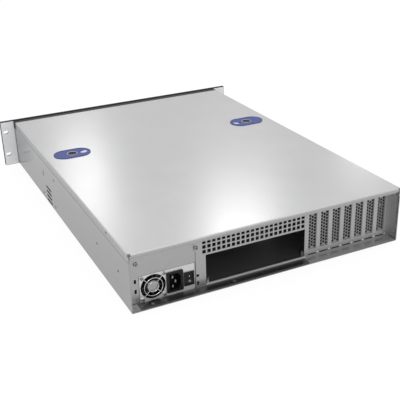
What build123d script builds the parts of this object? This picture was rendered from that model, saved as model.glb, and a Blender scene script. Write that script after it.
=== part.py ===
from build123d import *
import math
import os

# Rackmount server case, two units high, empty. Millimetres, +Z up.
# The front looks to -Y and the rear to +Y. Seen from behind, +X is on the left.
# The origin is the middle of the bottom of the whole box.

# Case body
BODY_DEPTH = 612.0
LID_TOP = 87.0
SHEET = 1.2
BEND_RADIUS = 2.0
CORNER_CLEAR = 1.1
FIT_GAP = 0.4
ROUND_SIDES = 24
HIDDEN_SIDES = 12
LONG_SIDES = 16
SMALL_SIDES = 6

# Front plate and rack ears
RACK_WIDTH = 482.6
EAR_WIDTH = 26.3
PLATE_HEIGHT = 88.1
PLATE_THICKNESS = 4.0
PLATE_CORNER = 1.5
EAR_MARGIN = 1.0
EAR_RELIEF = 0.6
HOLE_FROM_EDGE = 8.74
HOLE_SPAN_Z = 44.45
HOLE_LOW_Z = 21.85
HOLE_HEIGHT = 6.8
HOLE_LENGTH = 10.0
HOLE_SIDES = 8
FRAME_DEPTH = 14.0
FRAME_WEB = 16.0
FRAME_TONGUE = 10.0
FRONT_LIP = 12.0
FRAME_DROP = 0.5
FRAME_GAP = 0.6
FRAME_BEND = 1.5
FRAME_SEAT = 0.3
FRAME_SCOOP = 3.0

# Cover
LID_SHEET = 1.0
LID_FLANGE = 11.5
LID_REAR_FLANGE = 5.5
LID_BEND = 1.4
LID_SEAM = 1.5
RELIEF_HOLE = 4.6
RELIEF_SLIT = 1.2
WALL_LIP = 10.0
COVER_HOLE = 4.2
COVER_HOLE_DROP = 5.0
COVER_HOLE_FROM_REAR = 82.6
REAR_FOLD = 10.0
RELIEF_DEPTH = 3.0

# Cover latches
LATCH_FROM_WALL = 46.4
LATCH_FROM_FRONT = 233.7
LATCH_LENGTH = 63.5
LATCH_WIDTH = 40.0
LATCH_RIM = 1.0
LATCH_LEDGE = 1.8
LATCH_DEPTH = 7.0
LATCH_WALL = 2.0
LATCH_DISH = 0.6
LATCH_RIM_WIDTH = 1.6
CUT_CORNER = 0.27
BUTTON_DIAMETER = 15.0
BUTTON_GAP = 0.3
BUTTON_HEAD = 4.2
BUTTON_SIDES = 16
BOSS_WALL = 2.2
BOSS_FLOOR = 1.6
STEM_DIAMETER = 5.0
STEM_REACH = 3.6
FLARE_BELOW = 0.3
FLARE_THICKNESS = 0.7
FLARE_RIM = 1.0
SCOOP_OFFSET = 19.5
SCOOP_LENGTH = 13.5
SCOOP_WIDTH = 13.0
SCOOP_DEPTH = 3.4
SCOOP_WALL = 1.2
SCOOP_SIDES = 12
SCOOP_CHAMFER = 2.2

# Rear panel
RECESS = 16.4
PANEL_SHEET = 1.2
SHELF_Z = 79.0
APERTURE_FROM_SEAM = 14.9
APERTURE_WIDTH = 158.75
APERTURE_HEIGHT = 44.45
APERTURE_Z = 4.9
GRILLE_FROM_SEAM = 10.2
GRILLE_BEYOND = 4.0
GRILLE_ROWS = 3
GRILLE_HOLE = 5.2
GRILLE_PITCH_X = 7.476
GRILLE_PITCH_Z = 7.2
GRILLE_Z = 52.3
SLOT_PITCH = 20.32
SLOT_FROM_APERTURE = 13.35
SLOT_MARGIN = 1.5
SLOT_WINDOW = 13.3
SLOT_Z = 14.2
SLOT_TOP_Z = 73.0
SLIT_WIDTH = 14.0
SLIT_HEIGHT = 2.0
SLIT_Z = 5.2
LEDGE_FLANGE = 14.0
LEDGE_SCREWS = 4
LEDGE_SCREW_ENDS = (31.8, 28.3)
LEDGE_SCREW_BACK = 7.8
LEDGE_SCREW_HEAD = 5.4
LEDGE_SCREW_HEIGHT = 0.8
SIDE_SLOT_WIDTH = 3.2
SIDE_SLOT_HEIGHT = 6.4
SEAM_SLOT_BACK = 2.4
SEAM_SLOT_Z = 9.2
SEAM_HOLE = 4.6
SEAM_HOLE_Z = 20.8
SHELF_LAP = 4.0
SHELF_ROOT = 0.1
EDGE_SLOT_OUT = 5.3
EDGE_SLOT_Z = (20.6, 35.7)

# Slot covers
COVER_WIDTH = 18.4
COVER_SHEET = 0.9
COVER_FOOT = 9.0
COVER_TAB = 11.4
PERF_DIAMETER = 4.0
PERF_SIDES = 4
PERF_PITCH = 5.0
PERF_COLUMN = 4.3
PERF_LOW = 18.0
PERF_ROWS = 11
SCREW_HEAD = 6.2
SCREW_HEAD_HEIGHT = 1.9

# Power supply
PSU_WIDTH = 81.5
PSU_HEIGHT = 40.5
PSU_LENGTH = 190.0
PSU_FROM_WALL = 17.5
PSU_SHEET = 0.9
PSU_GAP = 0.4
PSU_VENTS = 6
PSU_VENT_PITCH = 11.0
PSU_VENT_EDGE = 8.0
ADAPTER_SHEET = 1.0
SEAM_FROM_PSU = 1.0
ADAPTER_LAP = 9.0
ADAPTER_TAB = 2.0
ADAPTER_TAB_Z = 58.3
ADAPTER_SCREW_OUT = 3.7
ADAPTER_TOP_GAP = 0.2
ADAPTER_SCREW_Z = 61.5
TAB_SCREW_IN = 1.1
TAB_SCREW_Z = 64.0
PSU_FAN_SIZE = 38.4
PSU_FAN_DEPTH = 15.0
PSU_FAN_BORE = 36.4
PSU_FAN_GAP = 0.1
PSU_FAN_HUB = 20.0
PSU_FAN_RIM = 2.0
GUARD_WIRE = 1.1
GUARD_PITCH = 32.0
GUARD_RINGS = (26.5, 14.5)
GUARD_EYE = 5.0
GUARD_HEAD = 4.6
GUARD_HEAD_HEIGHT = 1.2
GUARD_STACK = 0.7
INLET_IN = 30.1
INLET_Z = 20.8
INLET_WIDTH = 24.3
INLET_HEIGHT = 30.8
INLET_FLANGE = 2.0
INLET_BODY = 20.0
INLET_LEDGE_X = 1.0
INLET_LEDGE_Z = 2.0
INLET_CORNER = 1.0
SOCKET_WIDTH = 16.4
SOCKET_HEIGHT = 24.6
SOCKET_DEPTH = 16.5
SOCKET_CHAMFER = 4.6
PIN_SPAN = 14.0
PIN_LINE = 3.2
PIN_EARTH = -0.9
PIN_WIDTH = 2.0
PIN_HEIGHT = 4.0
PIN_LENGTH = 15.0
SWITCH_IN = 9.2
SWITCH_Z = 19.2
SWITCH_WIDTH = 15.2
SWITCH_HEIGHT = 20.8
SWITCH_FLANGE = 1.6
SWITCH_BODY = 12.0
SWITCH_WALL = 1.4
SWITCH_LEDGE = 1.0
ROCKER_WIDTH = 9.9
ROCKER_LENGTH = 14.0
ROCKER_DEPTH = 3.2
ROCKER_REST = 7.0
ROCKER_PIN = 2.4
ROCKER_GAP = 0.4
ROCKER_SWING = 1.0
ROCKER_CREST = 2.6
ROCKER_DIP = 1.4
ROCKER_TAPER = 0.8
ROCKER_SINK = 1.0
PIN_CLEARANCE = 0.05

# Fan wall and case fans
FAN_WALL_BEHIND_LATCH = 26.0
FAN_COUNT = 3
FAN_PITCH = 95.0
FAN_SIZE = 80.0
FAN_DEPTH = 25.0
FAN_BORE = 76.0
FAN_FOOT = 12.0
FAN_RIM = 3.0
FAN_HUB = 38.0
FAN_BLADES = 5
FAN_TIP_GAP = 1.5
FAN_END_GAP = 1.0
FAN_CORNER = 3.0
FAN_FOOT_GAP = 2.0
BLADE_SINK = 1.0
BLADE_SLANT = 42.0
BLADE_THICKNESS = 1.2
BLADE_FILL = 0.86
BLADE_ROOT = 0.72
SHAFT_DIAMETER = 3.0
SHAFT_SIDES = 12
STRIKE_WIDTH = 40.0
STRIKE_SLOT = 9.4
STRIKE_BELOW = 0.8
STRIKE_MARGIN = 2.0
STRIKE_FLANGE = 14.0
STRIKE_BEND = 1.5
CABLE_GAP_FROM_FAN = 15.0
CABLE_GAP_SILL = 8.0
CABLE_GAP_WIDTH = 30.0
CABLE_GAP_HEIGHT = 50.0

# Side wall features, measured forward from the rear edges
VENT_FROM_REAR = 386.0
VENT_LENGTH = 30.0
VENT_HEIGHT = 3.6
VENT_PITCH = 8.0
VENT_ROWS = 4
VENT_LOW_Z = 6.6
VENT_SCREW_SPAN = 71.0
RAIL_HOLE = 4.4
RAIL_FROM_REAR = (42.6, 129.0, 345.0)
RAIL_Z = (43.2, 44.3, 61.0)
RAIL_SLOT_FROM_REAR = 413.0
RAIL_SLOT_Z = 50.0
RAIL_SLOT_WIDTH = 3.4
RAIL_SLOT_HEIGHT = 9.0

# Drive cage, board standoffs and power supply stop
CAGE_FROM_WALL = 7.8
CAGE_FROM_EAR = 10.0
CAGE_BAY = 102.6
CAGE_BAYS = 2
CAGE_LENGTH = 146.0
CAGE_HEIGHT = 58.0
CAGE_FOOT = 8.0
CAGE_SHEET = 1.0
CAGE_SLOT_Y = (24.0, 84.0)
CAGE_SLOT_Z = (10.0, 37.0)
CAGE_SLOT_LENGTH = 12.0
CAGE_SLOT_HEIGHT = 3.6
STANDOFF_HEIGHT = 6.35
STANDOFF_FLATS = 5.0
BOARD_EDGE_IN = 1.0
BOARD_BACK_GAP = 1.0
STANDOFF_ROOM = 4.0
BOARD_HOLES_X = (6.35, 163.83, 288.29)
BOARD_HOLES_Y = (10.16, 165.1, 237.49)
STOP_WIDTH = 60.0
STOP_HEIGHT = 24.0
STOP_FOOT = 12.0
STOP_BEND = 1.5

# Front controls
CONTROL_Z = 44.0
CONTROL_FROM_WALL = 17.8
POWER_DIAMETER = 12.0
RESET_DIAMETER = 6.0
PRESS_GAP = 0.25
PRESS_TRAVEL = 1.2
PRESS_CLEAR = 0.3
COLLAR_RIM = 1.5
COLLAR_THICKNESS = 1.2
PLUNGER_DIAMETER = 3.0
SWITCH_PAD = 3.0
LAMP_WIDTH = 5.0
LAMP_HEIGHT = 2.0
LAMP_PITCH = 8.0
LAMP_SINK = 0.4
USB_WIDTH = 6.8
USB_HEIGHT = 14.5
USB_DEPTH = 10.0
USB_WALL = 0.6
USB_PITCH = 13.0
USB_SINK = 0.2
USB_TONGUE = 1.8
USB_TONGUE_SINK = 1.0
CONTROL_STEP = 15.0
BOARD_THICKNESS = 1.6
BOARD_STANDOFF = 10.0
BOARD_WIDTH = 88.0
BOARD_HEIGHT = 24.0
BOARD_POST = 5.0
BOARD_POST_IN = 3.0
BOARD_POST_ROOT = 0.5
INTAKE_PITCH = 22.0
INTAKE_WIDTH = 12.0
INTAKE_HEIGHT = 50.0
INTAKE_FROM_USB = 20.0
INTAKE_MARGIN = 40.0

# Places that follow from the sizes above
BODY_WIDTH = RACK_WIDTH - 2 * EAR_WIDTH
HOLE_SPAN_X = RACK_WIDTH - 2 * HOLE_FROM_EDGE
REAR = (BODY_DEPTH + SHEET + PLATE_THICKNESS) / 2
FRONT = -REAR
PLATE_BACK = FRONT + PLATE_THICKNESS
EAR_BACK = PLATE_BACK + SHEET
WALL_X = BODY_WIDTH / 2
INNER_X = WALL_X - SHEET
JOG = LID_SHEET + FIT_GAP + 0.2
UPPER_X = WALL_X - JOG
LIP_TOP = LID_TOP - LID_SHEET - FIT_GAP
SEAM_Z = LID_TOP - LID_FLANGE - LID_SEAM
WALL_TOP = SEAM_Z - SHEET
LID_FRONT = EAR_BACK + FRAME_DEPTH
LATCH_X = WALL_X - LATCH_FROM_WALL
LATCH_Y = FRONT + LATCH_FROM_FRONT
PANEL_Y = REAR - RECESS
PANEL_FRONT = PANEL_Y - PANEL_SHEET
SHELF_TOP = SHELF_Z + PANEL_SHEET
PSU_Y = PANEL_FRONT - ADAPTER_SHEET
PSU_LEFT = INNER_X - PSU_FROM_WALL
PSU_RIGHT = PSU_LEFT - PSU_WIDTH
PSU_FAN_X = PSU_LEFT - PSU_SHEET - PSU_FAN_SIZE / 2 - PSU_FAN_GAP
PSU_TOP = SHEET + PSU_HEIGHT
PSU_FAN_Z = SHEET + PSU_HEIGHT / 2
INLET_X = PSU_RIGHT + INLET_IN
SWITCH_X = PSU_RIGHT + SWITCH_IN
ADAPTER_SEAM = PSU_RIGHT - SEAM_FROM_PSU
APERTURE_LEFT = ADAPTER_SEAM - APERTURE_FROM_SEAM
APERTURE_RIGHT = APERTURE_LEFT - APERTURE_WIDTH
GRILLE_LEFT = ADAPTER_SEAM - GRILLE_FROM_SEAM
GRILLE_COLUMNS = 1 + int((APERTURE_WIDTH + GRILLE_BEYOND - GRILLE_HOLE) / GRILLE_PITCH_X)
SLOT_FIRST_X = APERTURE_RIGHT - SLOT_FROM_APERTURE
SLOT_ROOM = SLOT_FIRST_X + INNER_X - COVER_WIDTH / 2 - SLOT_MARGIN
SLOT_COUNT = 1 + int(SLOT_ROOM / SLOT_PITCH)
PANEL_JOINT = (APERTURE_RIGHT + SLOT_FIRST_X + COVER_WIDTH / 2) / 2
FAN_WALL_Y = LATCH_Y - FAN_WALL_BEHIND_LATCH
FAN_Z = SHEET + FIT_GAP + FAN_SIZE / 2
FAN_ROW = ((FAN_COUNT - 1) * FAN_PITCH + FAN_SIZE) / 2
CABLE_GAP_X = FAN_ROW + CABLE_GAP_FROM_FAN + CABLE_GAP_WIDTH / 2
CASE_FAN = (FAN_SIZE, FAN_DEPTH, FAN_BORE, FAN_HUB, FAN_RIM, HIDDEN_SIDES)
PSU_FAN = (PSU_FAN_SIZE, PSU_FAN_DEPTH, PSU_FAN_BORE, PSU_FAN_HUB, PSU_FAN_RIM, ROUND_SIDES)
LATCH_BOTTOM = LID_TOP - LID_SHEET - LATCH_DEPTH
BUTTON_TOP = LID_TOP + LATCH_RIM - LATCH_DISH
BUTTON_BASE = BUTTON_TOP - BUTTON_HEAD
STRIKE_TOP = LATCH_BOTTOM - STRIKE_BELOW
BOARD_BACK_Y = PLATE_BACK + BOARD_STANDOFF
CONTROL_RIGHT = INNER_X - CONTROL_FROM_WALL


def block(x0, x1, y0, y1, z0, z1):
    """A box between three pairs of planes."""
    middle = Pos((x0 + x1) / 2, (y0 + y1) / 2, (z0 + z1) / 2)
    return middle * Box(x1 - x0, y1 - y0, z1 - z0)


def facing_rear(y):
    """A plane that looks to +Y, whose own x runs to -X and y to +Z."""
    return Plane(origin=(0, y, 0), x_dir=(-1, 0, 0), z_dir=(0, 1, 0))


def facing_front(y):
    """A plane that looks to -Y, whose own x runs to +X and y to +Z."""
    return Plane(origin=(0, y, 0), x_dir=(1, 0, 0), z_dir=(0, -1, 0))


def ring_of(sides, diameter):
    """A regular outline with flats, for small or hidden round features."""
    return Rot(0, 0, 180 / sides) * RegularPolygon(diameter / 2, sides)


def bore_of(sides, diameter):
    """A regular opening that a round rod of that diameter just passes."""
    return Rot(0, 0, 180 / sides) * RegularPolygon(diameter / 2, sides, major_radius=False)


def post_y(x, z, diameter, y0, y1, sides=SMALL_SIDES):
    """A many-sided rod along Y."""
    return extrude(facing_rear(y0) * Pos(-x, z) * ring_of(sides, diameter), y1 - y0)


def post_x(y, z, diameter, x0, x1, sides=SMALL_SIDES):
    """A many-sided rod along X."""
    across = Plane(origin=(x0, y, z), x_dir=(0, 1, 0), z_dir=(1, 0, 0))
    return extrude(across * ring_of(sides, diameter), x1 - x0)


def post_z(x, y, diameter, z0, z1, sides=SMALL_SIDES):
    """A many-sided rod along Z."""
    return extrude(Plane.XY.offset(z0) * Pos(x, y) * ring_of(sides, diameter), z1 - z0)


def long_outline(length, width, sides):
    """A long outline with round ends, each end a half polygon."""
    end = bore_of(sides, width)
    straight = length - width
    return Rectangle(straight, width) + [Pos(side * straight / 2, 0) * end for side in (1, -1)]


def stadium(x, y, length, width, z0, z1):
    """A long round-ended block along X, standing along Z."""
    outline = long_outline(length, width, LONG_SIDES)
    return extrude(Plane.XY.offset(z0) * Pos(x, y) * outline, z1 - z0)


def cut_corner_block(x, y, length, width, z0, z1):
    """A block along X with cut corners, standing along Z."""
    outline = chamfer(Rectangle(length, width).vertices(), width * CUT_CORNER)
    return extrude(Plane.XY.offset(z0) * Pos(x, y) * outline, z1 - z0)


def bent_section(points, thickness, radius):
    """The section of a folded sheet whose outer face runs through the points."""
    outer = FilletPolyline(*points, radius=radius)
    return make_face(offset(outer, amount=thickness, side=Side.LEFT))


def bent_along_y(points, thickness, radius, y0, y1):
    """A folded sheet with its section in X and Z."""
    return extrude(facing_front(y1) * bent_section(points, thickness, radius), y1 - y0)


def bent_along_x(points, thickness, radius, x0, x1):
    """A folded sheet with its section in Y and Z."""
    across = Plane(origin=(x0, 0, 0), x_dir=(0, 1, 0), z_dir=(1, 0, 0))
    return extrude(across * bent_section(points, thickness, radius), x1 - x0)


def plate_xz(outline, holes, y0, y1):
    """A flat sheet facing the rear, with all its holes cut in the flat."""
    sheet = outline
    if holes:
        sheet = outline - holes
    return extrude(facing_front(y1) * sheet, y1 - y0)


def rect_between(x0, x1, z0, z1):
    """A flat rectangle between two pairs of lines."""
    return Pos((x0 + x1) / 2, (z0 + z1) / 2) * Rectangle(x1 - x0, z1 - z0)


def mirrored(shape):
    """The same shape on the other side of the case."""
    return mirror(shape, about=Plane.YZ)


def wall_points():
    """The outer line of the tray's section, from one lip down, across and up."""
    right = [
        (WALL_X, 0),
        (WALL_X, SEAM_Z),
        (UPPER_X, SEAM_Z + JOG),
        (UPPER_X, LIP_TOP),
        (UPPER_X - WALL_LIP, LIP_TOP),
    ]
    left = [(-x, z) for x, z in reversed(right)]
    return left + right


def tray_section():
    """The tray's section, with round bends at the floor and sharp joggles and lips above."""
    sheet = offset(Polyline(*wall_points()), amount=SHEET, side=Side.LEFT, kind=Kind.INTERSECTION)
    section = make_face(sheet)
    section = fillet(section.vertices().filter_by_position(Axis.Y, -FIT_GAP, FIT_GAP), BEND_RADIUS)
    inner = section.vertices().filter_by_position(Axis.Y, SHEET - FIT_GAP, SHEET + FIT_GAP)
    inner = [corner for corner in inner if abs(corner.X) > INNER_X - FIT_GAP and abs(corner.X) < INNER_X + FIT_GAP]
    return fillet(inner, BEND_RADIUS - SHEET)


def ear():
    """One rack ear, bent out from the front edge of the side wall."""
    outer = RACK_WIDTH / 2 - EAR_MARGIN
    top = PLATE_HEIGHT - EAR_MARGIN - FIT_GAP
    face = rect_between(INNER_X, outer, EAR_MARGIN, top)
    face -= rect_between(INNER_X - 1, WALL_X + EAR_RELIEF, WALL_TOP, top + 1)
    return plate_xz(face, rack_holes(1, SlotOverall(HOLE_LENGTH, HOLE_HEIGHT)), PLATE_BACK, EAR_BACK)


def rack_holes(side, hole):
    """The two long holes of one ear, both with the same outline."""
    heights = (HOLE_LOW_Z, HOLE_LOW_Z + HOLE_SPAN_Z)
    return Sketch() + [Pos(side * HOLE_SPAN_X / 2, z) * hole for z in heights]


def side_wall_cuts():
    """Vent slots, rail holes and a hanger slot of one side wall."""
    cuts = []
    vent_y = REAR - VENT_FROM_REAR
    x0 = INNER_X - 1
    x1 = WALL_X + 1
    for row in range(VENT_ROWS):
        z = VENT_LOW_Z + row * VENT_PITCH
        half = VENT_HEIGHT / 2
        cuts.append(block(x0, x1, vent_y - VENT_LENGTH / 2, vent_y + VENT_LENGTH / 2, z - half, z + half))
    for y in (vent_y - VENT_SCREW_SPAN / 2, vent_y + VENT_SCREW_SPAN / 2):
        cuts.append(post_x(y, VENT_LOW_Z + VENT_PITCH / 2, RAIL_HOLE, x0, x1))
    for back, z in zip(RAIL_FROM_REAR, RAIL_Z):
        cuts.append(post_x(REAR - back, z, RAIL_HOLE, x0, x1))
    slot_y = REAR - RAIL_SLOT_FROM_REAR
    half = RAIL_SLOT_HEIGHT / 2
    wide = RAIL_SLOT_WIDTH / 2
    cuts.append(block(x0, x1, slot_y - wide, slot_y + wide, RAIL_SLOT_Z - half, RAIL_SLOT_Z + half))
    cuts.append(post_x(REAR - COVER_HOLE_FROM_REAR, LID_TOP - COVER_HOLE_DROP, COVER_HOLE, x0 - JOG, x1))
    return cuts


def chassis_tray():
    """Floor, joggled side walls with lips, front lip and rack ears in one folded sheet."""
    tray = extrude(facing_front(REAR) * tray_section(), REAR - PLATE_BACK)
    tray -= block(-WALL_X - 1, WALL_X + 1, PLATE_BACK - 1, LID_FRONT, WALL_TOP, LID_TOP)
    flange_front = REAR - LID_SHEET - FIT_GAP
    flange_low = LID_TOP - LID_REAR_FLANGE - FIT_GAP
    tray -= block(-WALL_X - 1, WALL_X + 1, flange_front, REAR + 1, flange_low, LID_TOP)
    tray -= side_wall_cuts() + [mirrored(cut) for cut in side_wall_cuts()]
    tray += block(-INNER_X, INNER_X, PLATE_BACK, EAR_BACK, SHEET / 2, FRONT_LIP)
    tray += ear()
    tray += mirrored(ear())
    return tray


def front_frame():
    """The lip in front of the cover, with skirts at its ends and a tongue under the cover."""
    top = LID_TOP - FRAME_DROP
    lid_gap = LID_FRONT - FRAME_GAP
    points = [
        (LID_FRONT + FRAME_TONGUE, LIP_TOP),
        (lid_gap, LIP_TOP),
        (lid_gap - (top - LIP_TOP), top),
        (PLATE_BACK, top),
        (PLATE_BACK, top - FRAME_WEB),
    ]
    frame = bent_along_x(points, SHEET, [FRAME_BEND, FRAME_BEND, FRAME_BEND], -INNER_X, INNER_X)
    inner = UPPER_X - WALL_LIP - FIT_GAP
    for side in (1, -1):
        x0, x1 = sorted((side * inner, side * (WALL_X + 1)))
        frame -= block(x0, x1, lid_gap, LID_FRONT + FRAME_TONGUE + 1, LIP_TOP - FRAME_SCOOP, LID_TOP)
        x0, x1 = sorted((side * INNER_X, side * WALL_X))
        frame += block(x0, x1, PLATE_BACK, lid_gap, WALL_TOP + FRAME_SEAT, top)
    return frame


def intake_holes():
    """Upright slots that let air in through the front plate."""
    slot = Rectangle(INTAKE_WIDTH, INTAKE_HEIGHT)
    left = usb_places()[1] - INTAKE_FROM_USB
    count = 1 + int((left + INNER_X - INTAKE_MARGIN) / INTAKE_PITCH)
    return [Pos(left - k * INTAKE_PITCH, CONTROL_Z) * slot for k in range(count)]


def control_x(step):
    """The place across the front of one control."""
    return CONTROL_RIGHT - step * CONTROL_STEP


def lamp_places():
    """The middles of the two status lamps."""
    x = control_x(2)
    return [(x, CONTROL_Z + LAMP_PITCH / 2), (x, CONTROL_Z - LAMP_PITCH / 2)]


def usb_places():
    """The middles of the two USB ports."""
    return [control_x(3), control_x(3) - USB_PITCH]


def front_plate():
    """The full-width plate with rack holes, intake slots and openings for the controls."""
    outline = Rectangle(RACK_WIDTH, PLATE_HEIGHT)
    outline = Pos(0, PLATE_HEIGHT / 2) * chamfer(outline.vertices(), PLATE_CORNER)
    rack_hole = long_outline(HOLE_LENGTH, HOLE_HEIGHT, HOLE_SIDES)
    holes = rack_holes(1, rack_hole) + rack_holes(-1, rack_hole) + intake_holes()
    for step, diameter in enumerate((POWER_DIAMETER, RESET_DIAMETER)):
        holes += Pos(control_x(step), CONTROL_Z) * ring_of(HIDDEN_SIDES, diameter + 2 * PRESS_GAP)
    for x, z in lamp_places():
        holes += Pos(x, z) * Rectangle(LAMP_WIDTH, LAMP_HEIGHT)
    for x in usb_places():
        holes += Pos(x, CONTROL_Z) * Rectangle(USB_WIDTH + FIT_GAP, USB_HEIGHT + FIT_GAP)
    plate = plate_xz(outline, holes, FRONT, PLATE_BACK)
    for side in (1, -1):
        x = board_middle_x() + side * (BOARD_WIDTH / 2 - BOARD_POST_IN)
        for end in (1, -1):
            z = CONTROL_Z + end * (BOARD_HEIGHT / 2 - BOARD_POST_IN)
            plate += post_y(x, z, BOARD_POST, PLATE_BACK - BOARD_POST_ROOT, BOARD_BACK_Y)
    return plate


def board_middle_x():
    """The middle of the control board."""
    return (control_x(0) + usb_places()[1]) / 2


def control_board():
    """The board behind the front plate, with a press switch behind each button."""
    x = board_middle_x()
    half = BOARD_WIDTH / 2
    low = CONTROL_Z - BOARD_HEIGHT / 2
    board = block(x - half, x + half, BOARD_BACK_Y, BOARD_BACK_Y + BOARD_THICKNESS, low, low + BOARD_HEIGHT)
    for step in (0, 1):
        bx = control_x(step)
        board += face_block(bx, CONTROL_Z, 2 * SWITCH_PAD, 2 * SWITCH_PAD, BOARD_BACK_Y - SWITCH_PAD, BOARD_BACK_Y)
    return board


def press_button(step, diameter):
    """A front button: cap in its hole, collar behind the plate."""
    x = control_x(step)
    collar = PLATE_BACK + FIT_GAP
    button = post_y(x, CONTROL_Z, diameter, FRONT, collar + COLLAR_THICKNESS, HIDDEN_SIDES)
    button += post_y(x, CONTROL_Z, diameter + 2 * COLLAR_RIM, collar, collar + COLLAR_THICKNESS)
    plunger_end = BOARD_BACK_Y - SWITCH_PAD - PRESS_TRAVEL - PRESS_CLEAR
    return button + post_y(x, CONTROL_Z, PLUNGER_DIAMETER, collar, plunger_end)


def status_lamps():
    """Two lamps that stand on the control board and fill their holes."""
    lamps = []
    for x, z in lamp_places():
        lamps.append(face_block(x, z, LAMP_WIDTH, LAMP_HEIGHT, FRONT + LAMP_SINK, BOARD_BACK_Y))
    return side_by_side(lamps)


def usb_ports():
    """Two USB sockets: a steel shell with its tongue inside."""
    ports = []
    for x in usb_places():
        mouth = FRONT + USB_SINK
        back = mouth + USB_DEPTH
        width = USB_WIDTH - 2 * USB_WALL
        height = USB_HEIGHT - 2 * USB_WALL
        shell = face_block(x, CONTROL_Z, USB_WIDTH, USB_HEIGHT, mouth, BOARD_BACK_Y)
        shell -= face_block(x, CONTROL_Z, width, height, FRONT, back)
        shell += face_block(x, CONTROL_Z, USB_TONGUE, height - 2 * USB_TONGUE, mouth + USB_TONGUE_SINK, back)
        ports.append(shell)
    return side_by_side(ports)


def top_cover():
    """The sliding cover with side flanges, rear flange, corner reliefs and latch openings."""
    side = [
        (-WALL_X, LID_TOP - LID_FLANGE),
        (-WALL_X, LID_TOP),
        (WALL_X, LID_TOP),
        (WALL_X, LID_TOP - LID_FLANGE),
    ]
    side.reverse()
    cover = bent_along_y(side, LID_SHEET, LID_BEND, LID_FRONT, REAR)
    back = [
        (REAR, LID_TOP - LID_REAR_FLANGE),
        (REAR, LID_TOP),
        (REAR - REAR_FOLD, LID_TOP),
    ]
    flange_x = WALL_X - LID_SHEET - RELIEF_SLIT
    cover -= block(-WALL_X - 1, WALL_X + 1, REAR - LID_BEND, REAR + 1, LID_TOP - RELIEF_DEPTH, LID_TOP + 1)
    cover += bent_along_x(back, LID_SHEET, LID_BEND, -flange_x, flange_x)
    relief = post_z(flange_x, REAR - LID_BEND, RELIEF_HOLE, LID_TOP - RELIEF_DEPTH, LID_TOP + 1)
    cover -= [relief, mirrored(relief)]
    drop = LID_TOP - COVER_HOLE_DROP
    screw_y = REAR - COVER_HOLE_FROM_REAR
    cover -= post_x(screw_y, drop, COVER_HOLE, -WALL_X - 1, WALL_X + 1)
    length = LATCH_LENGTH - 2 * LATCH_LEDGE
    width = LATCH_WIDTH - 2 * LATCH_LEDGE
    for x in (LATCH_X, -LATCH_X):
        cover -= cut_corner_block(x, LATCH_Y, length, width, LID_TOP - 2 * LID_SHEET, LID_TOP + 1)
    return cover


def latch_bezel(side):
    """The oval plastic housing of one latch: rim on the cover, cup below, button boss and scoop."""
    x = side * LATCH_X
    rim_top = LID_TOP + LATCH_RIM
    inner_l = LATCH_LENGTH - 2 * LATCH_LEDGE
    inner_w = LATCH_WIDTH - 2 * LATCH_LEDGE
    bezel = stadium(x, LATCH_Y, LATCH_LENGTH, LATCH_WIDTH, LID_TOP, rim_top)
    bezel += cut_corner_block(x, LATCH_Y, inner_l, inner_w, LATCH_BOTTOM, LID_TOP)
    dish_l = LATCH_LENGTH - 2 * LATCH_RIM_WIDTH
    dish_w = LATCH_WIDTH - 2 * LATCH_RIM_WIDTH
    bezel -= stadium(x, LATCH_Y, dish_l, dish_w, rim_top - LATCH_DISH, rim_top + 1)
    deck = rim_top - LATCH_DISH - LATCH_WALL
    hollow_l = inner_l - 2 * LATCH_WALL
    hollow_w = inner_w - 2 * LATCH_WALL
    bezel -= cut_corner_block(x, LATCH_Y, hollow_l, hollow_w, LATCH_BOTTOM - 1, deck)
    bore = BUTTON_DIAMETER + 2 * BUTTON_GAP
    bezel += post_z(x, LATCH_Y, bore + 2 * BOSS_WALL, LATCH_BOTTOM, deck, SMALL_SIDES)
    place = Pos(x - side * SCOOP_OFFSET, LATCH_Y, rim_top - LATCH_DISH)
    bezel += place * scoop_bowl(SCOOP_WALL)
    bezel -= place * scoop_bowl(0)
    bezel -= post_z(x, LATCH_Y, bore, LATCH_BOTTOM + BOSS_FLOOR, rim_top + 1, BUTTON_SIDES)
    stem_hole = STEM_DIAMETER + 4 * BUTTON_GAP
    bezel -= post_z(x, LATCH_Y, stem_hole, LATCH_BOTTOM - 1, rim_top, SMALL_SIDES)
    return bezel


def scoop_bowl(extra):
    """The finger scoop, an oval bowl that narrows downward from its rim."""
    turns = [2 * math.pi * (k + 0.5) / SCOOP_SIDES for k in range(SCOOP_SIDES)]
    length = SCOOP_LENGTH / 2 + extra
    width = SCOOP_WIDTH / 2 + extra
    rim = make_face(Polyline(*[(length * math.cos(a), width * math.sin(a)) for a in turns], close=True))
    bowl = extrude(rim, SCOOP_DEPTH + extra, dir=(0, 0, -1))
    return chamfer(bowl.edges().group_by(Axis.Z)[0], SCOOP_CHAMFER)


def latch_button(side):
    """The push button with its stem and the flare that holds it in the housing."""
    x = side * LATCH_X
    button = post_z(x, LATCH_Y, BUTTON_DIAMETER, BUTTON_BASE, BUTTON_TOP, BUTTON_SIDES)
    button += post_z(x, LATCH_Y, STEM_DIAMETER, LATCH_BOTTOM - STEM_REACH, BUTTON_BASE)
    flare_top = LATCH_BOTTOM - FLARE_BELOW
    button += post_z(x, LATCH_Y, STEM_DIAMETER + 2 * FLARE_RIM, flare_top - FLARE_THICKNESS, flare_top)
    return button


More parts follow.
